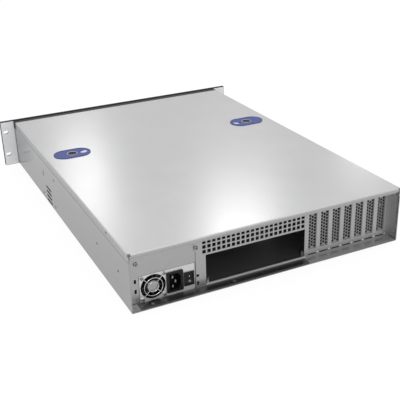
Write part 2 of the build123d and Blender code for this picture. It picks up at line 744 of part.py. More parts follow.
def fan_wall():
    """The cross wall that holds the fans and stiffens the case, with a gap for cables at each end."""
    low = SHEET
    top = LIP_TOP - SHEET
    upper = UPPER_X - SHEET
    slope_low = WALL_TOP
    outline = make_face(
        Polyline(
            (-INNER_X, low + CORNER_CLEAR),
            (-INNER_X + CORNER_CLEAR, low),
            (INNER_X - CORNER_CLEAR, low),
            (INNER_X, low + CORNER_CLEAR),
            (INNER_X, slope_low),
            (upper, slope_low + JOG),
            (upper, top - CORNER_CLEAR),
            (upper - CORNER_CLEAR, top),
            (-upper + CORNER_CLEAR, top),
            (-upper, top - CORNER_CLEAR),
            (-upper, slope_low + JOG),
            (-INNER_X, slope_low),
            close=True,
        )
    )
    holes = [Pos(x, FAN_Z) * bore_of(HIDDEN_SIDES, FAN_BORE) for x in fan_places()]
    gap = Rectangle(CABLE_GAP_WIDTH, CABLE_GAP_HEIGHT)
    holes += [Pos(side * CABLE_GAP_X, low + CABLE_GAP_SILL + CABLE_GAP_HEIGHT / 2) * gap for side in (1, -1)]
    wall = plate_xz(outline, holes, FAN_WALL_Y, FAN_WALL_Y + SHEET)
    foot_x = INNER_X - FAN_FOOT_GAP
    return wall + block(-foot_x, foot_x, FAN_WALL_Y, FAN_WALL_Y + FAN_FOOT, low, low + SHEET)


def latch_strike(side):
    """The bracket behind the fan wall under one latch, with a slot that is open to the rear for the stem."""
    x = side * LATCH_X
    half = STRIKE_WIDTH / 2
    wall = FAN_WALL_Y + SHEET
    reach = LATCH_Y + BUTTON_DIAMETER / 2 + STRIKE_MARGIN
    points = [(reach, STRIKE_TOP), (wall, STRIKE_TOP), (wall, STRIKE_TOP - STRIKE_FLANGE)]
    strike = bent_along_x(points, SHEET, STRIKE_BEND, x - half, x + half)
    wide = STRIKE_SLOT / 2
    return strike - block(x - wide, x + wide, LATCH_Y - wide, reach + 1, STRIKE_TOP - 2 * SHEET, STRIKE_TOP + 1)


def fan_places():
    """The middles of the case fans across the case."""
    return [(k - (FAN_COUNT - 1) / 2) * FAN_PITCH for k in range(FAN_COUNT)]


def fan_frame(x, z, y0, fan):
    """A square fan frame with a round duct and a motor plate on four struts at its rear."""
    size, depth, bore, hub, rim, sides = fan
    plate = chamfer(Rectangle(size, size).vertices(), FAN_CORNER)
    frame = extrude(facing_front(y0 + depth) * Pos(x, z) * (plate - bore_of(sides, bore)), depth)
    y1 = y0 + depth
    half = bore / 2 + rim / 4
    frame += block(x - half, x + half, y1 - rim, y1, z - rim / 2, z + rim / 2)
    frame += block(x - rim / 2, x + rim / 2, y1 - rim, y1, z - half, z + half)
    frame += post_y(x, z, hub, y1 - rim, y1, SHAFT_SIDES)
    hole = facing_front(y1 - rim / 3) * Pos(x, z) * bore_of(SHAFT_SIDES, SHAFT_DIAMETER)
    return frame - extrude(hole, rim)


def fan_rotor(x, z, y0, fan):
    """Hub cap with its shaft and slanted blades."""
    depth, bore, hub, rim, sides = fan[1:]
    back = y0 + depth - rim - FAN_END_GAP
    front = y0 + FAN_END_GAP
    shaft = SHAFT_DIAMETER - 2 * PIN_CLEARANCE
    rotor = post_y(x, z, hub, front, back, sides)
    rotor += post_y(x, z, shaft, back, y0 + depth - rim / 2, SHAFT_SIDES)
    blade = fan_blade(hub / 2 - BLADE_SINK, bore / 2 - FAN_TIP_GAP, back - front)
    place = Pos(x, (front + back) / 2, z)
    return rotor + [place * Rot(0, k * 360 / FAN_BLADES, 0) * blade for k in range(FAN_BLADES)]


def fan_blade(root, reach, depth):
    """One blade: a slanted sheet that widens from the hub to its tip, inside the reach."""
    slant = math.radians(BLADE_SLANT)
    wide = depth / math.cos(slant) * BLADE_FILL / 2
    tip = math.sqrt(reach**2 - (wide * math.cos(slant)) ** 2)
    flat = make_face(
        Polyline((root, -wide * BLADE_ROOT), (tip, -wide), (tip, wide), (root, wide * BLADE_ROOT), close=True)
    )
    blade = extrude(Pos(0, 0, -BLADE_THICKNESS / 2) * flat, BLADE_THICKNESS)
    return Rot(BLADE_SLANT, 0, 0) * blade


def panel_outline():
    """The outline of the whole recessed panel, with its tab over the adapter plate."""
    web_left = ADAPTER_SEAM + ADAPTER_TAB
    return make_face(
        Polyline(
            (-INNER_X, SHEET + CORNER_CLEAR),
            (-INNER_X + CORNER_CLEAR, SHEET),
            (ADAPTER_SEAM, SHEET),
            (ADAPTER_SEAM, ADAPTER_TAB_Z),
            (web_left, ADAPTER_TAB_Z),
            (web_left, SHELF_Z - SHELF_LAP),
            (UPPER_X - SHEET, SHELF_Z - SHELF_LAP),
            (UPPER_X - SHEET, SHELF_TOP),
            (-UPPER_X + SHEET, SHELF_TOP),
            (-UPPER_X + SHEET, WALL_TOP + JOG),
            (-INNER_X, WALL_TOP),
            close=True,
        )
    )


def panel_between(x0, x1):
    """The panel between two lines, with its shelf above and its flange on the ledge."""
    outline = panel_outline() & rect_between(x0, x1, 0, LID_TOP)
    panel = plate_xz(outline, panel_holes(), PANEL_FRONT, PANEL_Y)
    shelf_back = REAR - LID_SHEET - FIT_GAP * 2
    end = UPPER_X - SHEET
    panel += block(max(x0, -end), min(x1, end), PANEL_Y - SHELF_ROOT, shelf_back, SHELF_Z, SHELF_TOP)
    end = INNER_X - CORNER_CLEAR
    ledge_back = PANEL_Y + LEDGE_FLANGE
    return panel + block(max(x0, -end), min(x1, end), PANEL_Y - SHELF_ROOT, ledge_back, SHEET, SHEET + PANEL_SHEET)


def rear_panel():
    """The wider part of the recessed panel, with the aperture and the grille."""
    return panel_between(PANEL_JOINT, WALL_X)


def slot_panel():
    """The part of the recessed panel that carries the slot covers, butted to the wider part."""
    return panel_between(-WALL_X, PANEL_JOINT)


def panel_holes():
    """Aperture, grille, slot windows, tongue slits and small side slots, in the flat."""
    holes = [rect_between(APERTURE_RIGHT, APERTURE_LEFT, APERTURE_Z, APERTURE_Z + APERTURE_HEIGHT)]
    cell = Rectangle(GRILLE_HOLE, GRILLE_HOLE)
    for row in range(GRILLE_ROWS):
        z = GRILLE_Z + GRILLE_HOLE / 2 + row * GRILLE_PITCH_Z
        for column in range(GRILLE_COLUMNS):
            x = GRILLE_LEFT - GRILLE_HOLE / 2 - column * GRILLE_PITCH_X
            holes.append(Pos(x, z) * cell)
    for x in slot_places():
        holes.append(rect_between(x - SLOT_WINDOW / 2, x + SLOT_WINDOW / 2, SLOT_Z, SLOT_TOP_Z))
        holes.append(rect_between(x - SLIT_WIDTH / 2, x + SLIT_WIDTH / 2, SLIT_Z, SLIT_Z + SLIT_HEIGHT))
    return holes + seam_slots()


def side_slot():
    """One small upright slot with its corners cut."""
    return chamfer(Rectangle(SIDE_SLOT_WIDTH, SIDE_SLOT_HEIGHT).vertices(), SIDE_SLOT_WIDTH * 0.3)


def seam_slots():
    """The slot and the round hole beside the seam, through panel and adapter plate."""
    x = ADAPTER_SEAM - SEAM_SLOT_BACK
    return [Pos(x, SEAM_SLOT_Z) * side_slot(), Pos(x, SEAM_HOLE_Z) * ring_of(HOLE_SIDES, SEAM_HOLE)]


def slot_places():
    """The middles of the expansion slots across the panel."""
    return [SLOT_FIRST_X - k * SLOT_PITCH for k in range(SLOT_COUNT)]


def psu_adapter():
    """The sheet behind the panel that frames the power supply and closes the space above it."""
    top = SHELF_Z - ADAPTER_TOP_GAP
    right = ADAPTER_SEAM - ADAPTER_LAP
    outline = make_face(
        Polyline(
            (right, SHEET),
            (INNER_X - CORNER_CLEAR, SHEET),
            (INNER_X, SHEET + CORNER_CLEAR),
            (INNER_X, WALL_TOP),
            (UPPER_X - SHEET, WALL_TOP + JOG),
            (UPPER_X - SHEET, top),
            (right, top),
            close=True,
        )
    )
    outline -= rect_between(PSU_RIGHT - PSU_GAP, PSU_LEFT + PSU_GAP, 0, PSU_TOP + PSU_GAP)
    holes = seam_slots() + [Pos(PSU_LEFT + EDGE_SLOT_OUT, z) * side_slot() for z in EDGE_SLOT_Z]
    return plate_xz(outline, holes, PSU_Y, PANEL_FRONT)


def slot_cover(x):
    """One perforated slot cover with its tab on the shelf."""
    back = PANEL_FRONT
    front = back - COVER_SHEET
    half = COVER_WIDTH / 2
    top = SHELF_TOP + COVER_SHEET
    hole = ring_of(PERF_SIDES, PERF_DIAMETER)
    holes = []
    for row in range(PERF_ROWS):
        z = PERF_LOW + row * PERF_PITCH
        holes += [Pos(x + side * PERF_COLUMN, z) * hole for side in (1, -1)]
        if row:
            holes.append(Pos(x, z - PERF_PITCH / 2) * hole)
    cover = plate_xz(rect_between(x - half, x + half, COVER_FOOT, top), holes, front, back)
    tab = block(x - half, x + half, front, back + COVER_TAB, SHELF_TOP, top)
    return cover + tab


def side_by_side(pieces):
    """Several separate solids as one group."""
    return Compound(children=pieces)


def slot_screws():
    """One hexagon screw head on each slot cover's tab."""
    y = PANEL_FRONT + COVER_TAB / 2 + 1
    low = SHELF_TOP + COVER_SHEET
    high = low + SCREW_HEAD_HEIGHT
    return side_by_side([post_z(x, y, SCREW_HEAD, low, high, 6) for x in slot_places()])


def ledge_screws():
    """Low screws that hold the panel's flange on the ledge."""
    y = PANEL_Y + LEDGE_SCREW_BACK
    top = SHEET + PANEL_SHEET
    left = INNER_X - LEDGE_SCREW_ENDS[0]
    pitch = (left + INNER_X - LEDGE_SCREW_ENDS[1]) / (LEDGE_SCREWS - 1)
    places = [left - k * pitch for k in range(LEDGE_SCREWS)]
    return side_by_side([post_z(x, y, LEDGE_SCREW_HEAD, top, top + LEDGE_SCREW_HEIGHT) for x in places])


def adapter_screws():
    """The two screws of the adapter plate, one in the plate and one in the panel's tab."""
    screws = []
    places = (
        (PSU_LEFT + ADAPTER_SCREW_OUT, PANEL_FRONT, ADAPTER_SCREW_Z),
        (ADAPTER_SEAM - TAB_SCREW_IN, PANEL_Y, TAB_SCREW_Z),
    )
    for x, y, z in places:
        screws.append(post_y(x, z, SCREW_HEAD, y, y + SCREW_HEAD_HEIGHT))
    return side_by_side(screws)


def psu_case():
    """The zinc box of the power supply with openings for fan, inlet and switch."""
    front = PSU_Y - PSU_LENGTH
    case = block(PSU_RIGHT, PSU_LEFT, front, PSU_Y, SHEET, PSU_TOP)
    t = PSU_SHEET
    case -= block(PSU_RIGHT + t, PSU_LEFT - t, front + t, PSU_Y - t, SHEET + t, PSU_TOP - t)
    case -= post_y(PSU_FAN_X, PSU_FAN_Z, PSU_FAN_BORE, PSU_Y - 2 * t, PSU_Y + 1, ROUND_SIDES)
    case -= inlet_body(PSU_Y - 2 * t, PSU_Y + 1)
    case -= switch_body(PSU_Y - 2 * t, PSU_Y + 1)
    middle = (PSU_RIGHT + PSU_LEFT) / 2
    for k in range(PSU_VENTS):
        x = middle + (k - (PSU_VENTS - 1) / 2) * PSU_VENT_PITCH
        half = PSU_VENT_PITCH / 4
        case -= block(x - half, x + half, front - 1, front + 2 * t, SHEET + PSU_VENT_EDGE, PSU_TOP - PSU_VENT_EDGE)
    return case


def face_block(x, z, width, height, y0, y1):
    """A block on the rear face, given by its middle, width and height."""
    return block(x - width / 2, x + width / 2, y0, y1, z - height / 2, z + height / 2)


def inlet_body(y0, y1):
    """The part of the inlet that passes through the power supply's wall."""
    width = INLET_WIDTH - 2 * INLET_LEDGE_X
    return face_block(INLET_X, INLET_Z, width, INLET_HEIGHT - 2 * INLET_LEDGE_Z, y0, y1)


def switch_body(y0, y1):
    """The part of the switch that passes through the power supply's wall."""
    width = SWITCH_WIDTH - 2 * SWITCH_LEDGE
    return face_block(SWITCH_X, SWITCH_Z, width, SWITCH_HEIGHT - 2 * SWITCH_LEDGE, y0, y1)


def psu_fan_guard():
    """The wire guard: two rings, four arms and four eyes."""
    ring_low = PSU_Y + GUARD_WIRE * GUARD_STACK
    parts = []
    for diameter in GUARD_RINGS:
        ring = ring_of(HIDDEN_SIDES, diameter + GUARD_WIRE) - ring_of(HIDDEN_SIDES, diameter - GUARD_WIRE)
        face = facing_front(ring_low + GUARD_WIRE) * Pos(PSU_FAN_X, PSU_FAN_Z)
        parts.append(extrude(face * ring, GUARD_WIRE))
    reach = GUARD_PITCH / 2 * math.sqrt(2)
    for k in range(4):
        arm = block(GUARD_RINGS[1] / 2, reach, PSU_Y, PSU_Y + GUARD_WIRE, -GUARD_WIRE / 2, GUARD_WIRE / 2)
        eye = post_y(reach, 0, GUARD_EYE, PSU_Y, PSU_Y + GUARD_WIRE)
        parts.append(Pos(PSU_FAN_X, 0, PSU_FAN_Z) * Rot(0, 45 + 90 * k, 0) * (arm + eye))
    return parts[0] + parts[1:]


def guard_screws():
    """Four screws that hold the guard at the corners of the fan."""
    half = GUARD_PITCH / 2
    y = PSU_Y + GUARD_WIRE
    screws = []
    for sx in (1, -1):
        for sz in (1, -1):
            screws.append(post_y(PSU_FAN_X + sx * half, PSU_FAN_Z + sz * half, GUARD_HEAD, y, y + GUARD_HEAD_HEIGHT))
    return side_by_side(screws)


def inlet_socket():
    """The mains inlet: flange, body and a socket with two cut corners."""
    flange = face_block(INLET_X, INLET_Z, INLET_WIDTH, INLET_HEIGHT, PSU_Y, PSU_Y + INLET_FLANGE)
    flange = chamfer(flange.edges().filter_by(Axis.Y), INLET_CORNER)
    body = inlet_body(PSU_Y - INLET_BODY, PSU_Y)
    w = SOCKET_WIDTH / 2
    h = SOCKET_HEIGHT / 2
    c = SOCKET_CHAMFER
    mouth = make_face(Polyline((w, -h), (w, h), (-w + c, h), (-w, h - c), (-w, -h + c), (-w + c, -h), close=True))
    back = PSU_Y + INLET_FLANGE
    cavity = extrude(facing_front(back + 1) * Pos(INLET_X, INLET_Z) * mouth, SOCKET_DEPTH + 1)
    return flange + body - cavity


def inlet_pins():
    """The three blades of the inlet."""
    floor_y = PSU_Y + INLET_FLANGE - SOCKET_DEPTH
    tip = floor_y + PIN_LENGTH
    places = ((PIN_LINE, PIN_SPAN / 2), (PIN_LINE, -PIN_SPAN / 2), (PIN_EARTH, 0))
    pins = []
    for dx, dz in places:
        pins.append(face_block(INLET_X + dx, INLET_Z + dz, PIN_WIDTH, PIN_HEIGHT, floor_y, tip))
    return side_by_side(pins)


def switch_bezel():
    """The frame of the rocker switch, with holes for the rocker's pivots."""
    flange = face_block(SWITCH_X, SWITCH_Z, SWITCH_WIDTH, SWITCH_HEIGHT, PSU_Y, PSU_Y + SWITCH_FLANGE)
    bezel = flange + switch_body(PSU_Y - SWITCH_BODY, PSU_Y)
    wide = ROCKER_WIDTH + 2 * ROCKER_GAP
    tall = ROCKER_LENGTH + 2 * ROCKER_SWING
    back = PSU_Y + SWITCH_FLANGE
    bezel -= face_block(SWITCH_X, SWITCH_Z, wide, tall, PSU_Y - SWITCH_BODY + SWITCH_WALL, back + 1)
    reach = ROCKER_WIDTH / 2 + SWITCH_WALL
    across = Plane(origin=(SWITCH_X - reach, rocker_y(), SWITCH_Z), x_dir=(0, 1, 0), z_dir=(1, 0, 0))
    return bezel - extrude(across * bore_of(SHAFT_SIDES, ROCKER_PIN), 2 * reach)


def rocker_y():
    """How far back the rocker's pivot lies."""
    return PSU_Y - ROCKER_SINK


def rocker():
    """The rocker: a shallow V with two pivots, one half pressed in."""
    half = ROCKER_LENGTH / 2
    section = make_face(
        Polyline(
            (-ROCKER_DEPTH, -half * ROCKER_TAPER),
            (ROCKER_CREST, -half),
            (ROCKER_DIP, 0),
            (ROCKER_CREST, half),
            (-ROCKER_DEPTH, half * ROCKER_TAPER),
            close=True,
        )
    )
    across = Plane(origin=(-ROCKER_WIDTH / 2, 0, 0), x_dir=(0, 1, 0), z_dir=(1, 0, 0))
    body = extrude(across * section, ROCKER_WIDTH)
    reach = ROCKER_WIDTH / 2 + SWITCH_WALL - PRESS_CLEAR
    body += post_x(0, 0, ROCKER_PIN - 2 * PIN_CLEARANCE, -reach, reach, SHAFT_SIDES)
    return Pos(SWITCH_X, rocker_y(), SWITCH_Z) * Rot(ROCKER_REST, 0, 0) * body


def psu_stop():
    """The small angle on the floor that stops the power supply at its inner end."""
    y = PSU_Y - PSU_LENGTH
    middle = (PSU_RIGHT + PSU_LEFT) / 2
    points = [(y - STOP_FOOT, SHEET), (y, SHEET), (y, SHEET + STOP_HEIGHT)]
    return bent_along_x(points, SHEET, STOP_BEND, middle - STOP_WIDTH / 2, middle + STOP_WIDTH / 2)


def drive_cage():
    """The folded cage for the drives, with side feet, a middle wall and screw slots."""
    y0 = EAR_BACK + CAGE_FROM_EAR
    y1 = y0 + CAGE_LENGTH
    x0 = CAGE_FROM_WALL - INNER_X
    x1 = x0 + CAGE_BAY * CAGE_BAYS
    t = CAGE_SHEET
    top = SHEET + CAGE_HEIGHT
    cage = block(x0, x1, y0, y1, SHEET, top)
    cage -= block(x0 + t, x1 - t, y0 - 1, y1 + 1, SHEET - 1, top - t)
    cage += block(x1 - t, x1 + CAGE_FOOT, y0, y1, SHEET, SHEET + t)
    for k in range(1, CAGE_BAYS):
        x = x0 + k * CAGE_BAY
        cage += block(x - t / 2, x + t / 2, y0, y1, SHEET, top - t / 2)
    half = CAGE_SLOT_HEIGHT / 2
    for z in CAGE_SLOT_Z:
        for start in CAGE_SLOT_Y:
            y = y0 + start
            cage -= block(x0 - 1, x1 + 1, y, y + CAGE_SLOT_LENGTH, SHEET + z - half, SHEET + z + half)
    return cage


def board_standoffs():
    """Hexagonal standoffs for the main board."""
    edge = PANEL_FRONT - BOARD_BACK_GAP
    radius = STANDOFF_FLATS / math.sqrt(3)
    left = APERTURE_LEFT - BOARD_EDGE_IN
    posts = []
    for dx in [place for place in BOARD_HOLES_X if left - place > STANDOFF_ROOM - INNER_X]:
        for dy in BOARD_HOLES_Y:
            base = Plane.XY.offset(SHEET) * Pos(left - dx, edge - dy)
            posts.append(extrude(base * RegularPolygon(radius, 6), STANDOFF_HEIGHT))
    return side_by_side(posts)


def case_fan_frame(k):
    """Frame of one case fan, in front of the fan wall."""
    return fan_frame(fan_places()[k], FAN_Z, FAN_WALL_Y - FAN_DEPTH, CASE_FAN)


def case_fan_rotor(k):
    """Rotor of one case fan."""
    return fan_rotor(fan_places()[k], FAN_Z, FAN_WALL_Y - FAN_DEPTH, CASE_FAN)


def psu_fan_frame():
    """Frame of the power supply's fan, behind its opening."""
    return fan_frame(PSU_FAN_X, PSU_FAN_Z, PSU_Y - PSU_SHEET - PSU_FAN_DEPTH, PSU_FAN)


def psu_fan_rotor():
    """Rotor of the power supply's fan."""
    return fan_rotor(PSU_FAN_X, PSU_FAN_Z, PSU_Y - PSU_SHEET - PSU_FAN_DEPTH, PSU_FAN)


def nodes():
    """Every piece by its name."""
    pieces = {
        "chassis_tray": chassis_tray(),
        "front_frame": front_frame(),
        "front_plate": front_plate(),
        "control_board": control_board(),
        "power_button": press_button(0, POWER_DIAMETER),
        "reset_button": press_button(1, RESET_DIAMETER),
        "status_lamps": status_lamps(),
        "usb_ports": usb_ports(),
        "top_cover": top_cover(),
        "fan_wall": fan_wall(),
        "rear_panel": rear_panel(),
        "slot_panel": slot_panel(),
        "psu_adapter_plate": psu_adapter(),
        "adapter_screws": adapter_screws(),
        "slot_cover_screws": slot_screws(),
        "ledge_screws": ledge_screws(),
        "psu_case": psu_case(),
        "psu_fan_frame": psu_fan_frame(),
        "psu_fan_rotor": psu_fan_rotor(),
        "psu_fan_guard": psu_fan_guard(),
        "guard_screws": guard_screws(),
        "mains_inlet": inlet_socket(),
        "inlet_pins": inlet_pins(),
        "switch_bezel": switch_bezel(),
        "switch_rocker": rocker(),
        "psu_stop": psu_stop(),
        "drive_cage": drive_cage(),
        "board_standoffs": board_standoffs(),
    }
    for side, name in ((1, "left"), (-1, "right")):
        pieces["latch_bezel_" + name] = latch_bezel(side)
        pieces["latch_button_" + name] = latch_button(side)
        pieces["latch_strike_" + name] = latch_strike(side)
    for k, x in enumerate(slot_places()):
        pieces["slot_cover_%d" % (k + 1)] = slot_cover(x)
    for k in range(FAN_COUNT):
        pieces["case_fan_frame_%d" % (k + 1)] = case_fan_frame(k)
        pieces["case_fan_rotor_%d" % (k + 1)] = case_fan_rotor(k)
    return pieces


os.makedirs("parts", exist_ok=True)
for name, piece in nodes().items():
    export_step(piece, os.path.join("parts", name + ".step"))
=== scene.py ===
"""A two-unit rackmount server case, dressed for its portrait from behind and above."""

import logging
import math
from dataclasses import dataclass
from enum import Enum
from typing import Callable, Sequence, Union

import bmesh
import bpy
from mathutils import Matrix, Vector


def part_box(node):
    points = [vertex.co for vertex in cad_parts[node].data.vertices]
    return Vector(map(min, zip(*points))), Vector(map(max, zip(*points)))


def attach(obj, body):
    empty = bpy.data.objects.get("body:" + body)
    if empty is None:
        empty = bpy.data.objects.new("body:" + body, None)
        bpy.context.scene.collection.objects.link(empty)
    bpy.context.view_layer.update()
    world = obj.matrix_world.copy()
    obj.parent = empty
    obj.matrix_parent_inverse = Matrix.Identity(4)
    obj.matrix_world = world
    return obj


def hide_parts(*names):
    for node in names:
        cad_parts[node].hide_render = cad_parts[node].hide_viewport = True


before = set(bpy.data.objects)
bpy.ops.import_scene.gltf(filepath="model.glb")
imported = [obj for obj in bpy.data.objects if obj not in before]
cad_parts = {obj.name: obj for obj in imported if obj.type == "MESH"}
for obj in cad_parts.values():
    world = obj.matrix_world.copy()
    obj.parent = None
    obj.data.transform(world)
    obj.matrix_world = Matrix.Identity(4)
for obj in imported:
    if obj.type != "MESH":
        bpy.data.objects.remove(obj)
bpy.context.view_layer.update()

log = logging.getLogger("server_case")

Colour = tuple[float, float, float]
Point = tuple[float, float, float]
Socket = bpy.types.NodeSocket
Input = Union[Socket, Colour, Vector, float]
Test = Callable[[Vector, Vector], bool]

MM = 0.001
TOUCH = 0.01 * MM  # points nearer than this to a plane lie on it
FACING = 0.9  # a face looks along an axis from this share of its normal
ACROSS = 0.1  # an edge lies across an axis below this share of its direction
NEAR_TOP = 0.8  # an edge above this share of a piece's height belongs to its top
WHITE = (1.0, 1.0, 1.0)
SLOT_COVERS = ["slot_cover_%d" % number for number in range(1, 8)]


class Axis(Enum):
    """The three directions of the frame."""

    X = (1.0, 0.0, 0.0)
    Y = (0.0, 1.0, 0.0)
    Z = (0.0, 0.0, 1.0)

    @property
    def vector(self) -> Vector:
        """The direction as a vector."""
        return Vector(self.value)

    @property
    def turn(self) -> Point:
        """The turn that brings a standing primitive onto this axis."""
        quarter = math.pi / 2
        return {"X": (0.0, quarter, 0.0), "Y": (quarter, 0.0, 0.0), "Z": (0.0, 0.0, 0.0)}[self.name]


class Side(Enum):
    """The two sides of the case, as they show from behind."""

    LEFT = 1
    RIGHT = -1

    @property
    def word(self) -> str:
        """The side's name as the nodes spell it."""
        return self.name.lower()


def facing(axis: Axis, sign: int = 1) -> Test:
    """Picks the faces that look along an axis, or against it with a sign of -1."""
    return lambda middle, normal: sign * normal.dot(axis.vector) > FACING


def across(axis: Axis, above: float = -math.inf) -> Test:
    """Picks the edges that lie across an axis, above a place on it."""
    line = axis.vector
    return lambda middle, way: abs(way.dot(line)) < ACROSS and middle.dot(line) > above


def level(axis: Axis, place: float) -> Test:
    """Picks the edges whose middle is at a place on an axis."""
    return lambda middle, way: abs(middle.dot(axis.vector) - place) < TOUCH


def shade(tone: Colour, factor: float) -> Colour:
    """A lighter or darker version of a colour."""
    return tuple(min(1.0, part * factor) for part in tone)


@dataclass(frozen=True)
class Zone:
    """A box of the frame, or the egg that fills it, with another colour: a real finish, painted
    shade or a painted highlight.
    """

    low: Point
    high: Point
    tone: Colour
    metal: float = 0.85
    roughness: float = 0.3
    egg: bool = False


class Tree:
    """A node tree that is put together one node at a time."""

    def __init__(self, tree: bpy.types.NodeTree) -> None:
        """Takes the tree to work on."""
        self.tree = tree

    def feed(self, socket: Socket, value: Input) -> None:
        """Links a socket to another one, or sets its own number or colour.

        Args:
            socket: The socket that takes the value.
            value: A socket, number or colour.
        """
        if isinstance(value, Socket):
            self.tree.links.new(value, socket)
        else:
            plain_colour = socket.type == "RGBA" and len(value) == 3
            socket.default_value = (*value, 1.0) if plain_colour else value

    def node(self, kind: str, inputs: dict | None = None, **settings: object) -> bpy.types.Node:
        """Adds a node.

        Args:
            kind: The node's type without its ShaderNode prefix.
            inputs: Values or sockets for its inputs, by name or number.
            settings: Properties of the node itself.

        Returns:
            The new node.
        """
        made = self.tree.nodes.new("ShaderNode" + kind)
        for key, value in settings.items():
            setattr(made, key, value)
        for key, value in (inputs or {}).items():
            self.feed(made.inputs[key], value)
        return made

    def math(self, operation: str, *values: Input) -> Socket:
        """The result of a sum on numbers or sockets."""
        return self.node("Math", dict(enumerate(values)), operation=operation).outputs[0]

    def vector_math(self, operation: str, *values: Input) -> Socket:
        """The result of a sum on vectors."""
        return self.node("VectorMath", dict(enumerate(values)), operation=operation).outputs[0]


class Shader(Tree):
    """A material's node tree round its one principled shader."""

    NOISE_REACH = (0.1, 0.9)
    NOISE_ROUGHNESS = 0.55
    WASH_STOPS = (0.15, 0.85)
    MOTTLE_STOPS = (0.3, 0.7)

    def __init__(self, name: str) -> None:
        """Starts a material.

        Args:
            name: The material's name.
        """
        self.material = bpy.data.materials.new(name)
        self.material.use_nodes = True
        super().__init__(self.material.node_tree)
        self.surface = self.tree.nodes["Principled BSDF"]

    def place(self, stretch: Point = (1.0, 1.0, 1.0)) -> Socket:
        """The object's own coordinates, stretched along the axes."""
        where = self.node("TexCoord").outputs["Object"]
        return self.node("Mapping", {"Vector": where, "Scale": stretch}).outputs["Vector"]

    def noise(self, size: float, detail: float = 2.0, stretch: Point = (1.0, 1.0, 1.0)) -> Socket:
        """Soft noise in the object's own space.

        Args:
            size: The length of one blotch in metres.
            detail: How many finer layers it has.
            stretch: A smaller number draws the blotches out along that axis.

        Returns:
            A grey value from 0 to 1.
        """
        inputs = {"Vector": self.place(stretch), "Scale": 1.0 / size, "Detail": detail}
        inputs["Roughness"] = self.NOISE_ROUGHNESS
        return self.node("TexNoise", inputs).outputs["Fac"]

    def ramp(self, value: Socket, stops: Sequence[tuple[float, Colour]]) -> Socket:
        """Turns a grey value into a colour.

        Args:
            value: The grey value.
            stops: Two places along the ramp and their colours.

        Returns:
            The colour.
        """
        made = self.node("ValToRGB", {"Fac": value})
        for point, (position, colour) in zip(made.color_ramp.elements, stops):
            point.position = position
            point.color = (*colour, 1.0)
        return made.outputs["Color"]

    def mottle(self, noise: Socket, tone: Colour, swing: tuple[float, float]) -> Socket:
        """A tone that swings between a darker and a lighter version of itself."""
        return self.ramp(noise, list(zip(self.MOTTLE_STOPS, (shade(tone, part) for part in swing))))

    def blend(self, share: Input, first: Input, second: Input, mode: str = "MIX") -> Socket:
        """Mixes two colours.

        Args:
            share: How much of the second there is.
            first: The lower colour.
            second: The upper colour.
            mode: The way they are mixed.

        Returns:
            The mixed colour.
        """
        # a Mix node set to colours takes them at its inputs 6 and 7 and gives its result at 2
        inputs = {0: share, 6: first, 7: second}
        return self.node("Mix", inputs, data_type="RGBA", blend_type=mode).outputs[2]

    def span(self, value: Socket, low: float, high: float) -> Socket:
        """Spreads a noise's usual reach between two numbers.

        Args:
            value: The noise.
            low: What its dark end becomes.
            high: What its light end becomes.

        Returns:
            The new value.
        """
        start, end = self.NOISE_REACH
        inputs = {"Value": value, "From Min": start, "From Max": end, "To Min": low, "To Max": high}
        return self.node("MapRange", inputs).outputs["Result"]

    def inside(self, zone: Zone) -> Socket:
        """Finds where the surface lies in a zone.

        Args:
            zone: The zone.

        Returns:
            One in the zone and nought elsewhere.
        """
        middle = (Vector(zone.low) + Vector(zone.high)) / 2
        half = (Vector(zone.high) - Vector(zone.low)) / 2
        moved = self.vector_math("SUBTRACT", self.place(), middle)
        scaled = self.vector_math("DIVIDE", moved, half)
        if zone.egg:
            reach = self.node("VectorMath", {0: scaled}, operation="LENGTH").outputs["Value"]
        else:
            split = self.node("SeparateXYZ", {0: self.vector_math("ABSOLUTE", scaled)})
            flat_reach = self.math("MAXIMUM", split.outputs[0], split.outputs[1])
            reach = self.math("MAXIMUM", flat_reach, split.outputs[2])
        return self.math("LESS_THAN", reach, 1.0)

    def zoned(
        self, tone: Colour, metal: float, roughness: float, zones: Sequence[Zone]
    ) -> list[Input]:
        """A finish with zones laid over it, as sockets only where a zone changes it.

        Args:
            tone: The colour outside the zones.
            metal: How metallic it is there.
            roughness: Its roughness there.
            zones: The zones.

        Returns:
            Colour, metal and roughness.
        """
        colour, numbers = tone, [metal, roughness]
        for zone in zones:
            share = self.inside(zone)
            colour = self.blend(share, colour, zone.tone)
            for place, step in enumerate((zone.metal - metal, zone.roughness - roughness)):
                if step:
                    numbers[place] = self.math("MULTIPLY_ADD", share, step, numbers[place])
        return [colour, *numbers]

    def wash(self, colour: Input, noise: Socket, share: float) -> Socket:
        """Darkens a colour here and there, softly.

        Args:
            colour: The colour.
            noise: The noise that it follows.
            share: How strong the change is.

        Returns:
            The new colour.
        """
        dark = (1.0 - 2 * share,) * 3
        factor = self.ramp(noise, list(zip(self.WASH_STOPS, (dark, WHITE))))
        return self.blend(1.0, colour, factor, "MULTIPLY")

    def relief(self, height: Socket, depth: float) -> None:
        """Gives the surface fine relief.

        Args:
            height: The pattern of heights.
            depth: How deep it goes, in metres.
        """
        bump = self.node("Bump", {"Height": height, "Strength": 1.0, "Distance": depth})
        self.feed(self.surface.inputs["Normal"], bump.outputs["Normal"])

    def paint(self, colour: Socket, roughness: Socket, **others: Input) -> None:
        """Feeds the surface.

        Args:
            colour: The base colour.
            roughness: The roughness.
            others: Numbers or sockets for other inputs, written with underscores.
        """
        self.feed(self.surface.inputs["Base Color"], colour)
        self.feed(self.surface.inputs["Roughness"], roughness)
        for name, value in others.items():
            title = name.replace("_", " ").title().replace("Ior", "IOR")
            self.feed(self.surface.inputs[title], value)


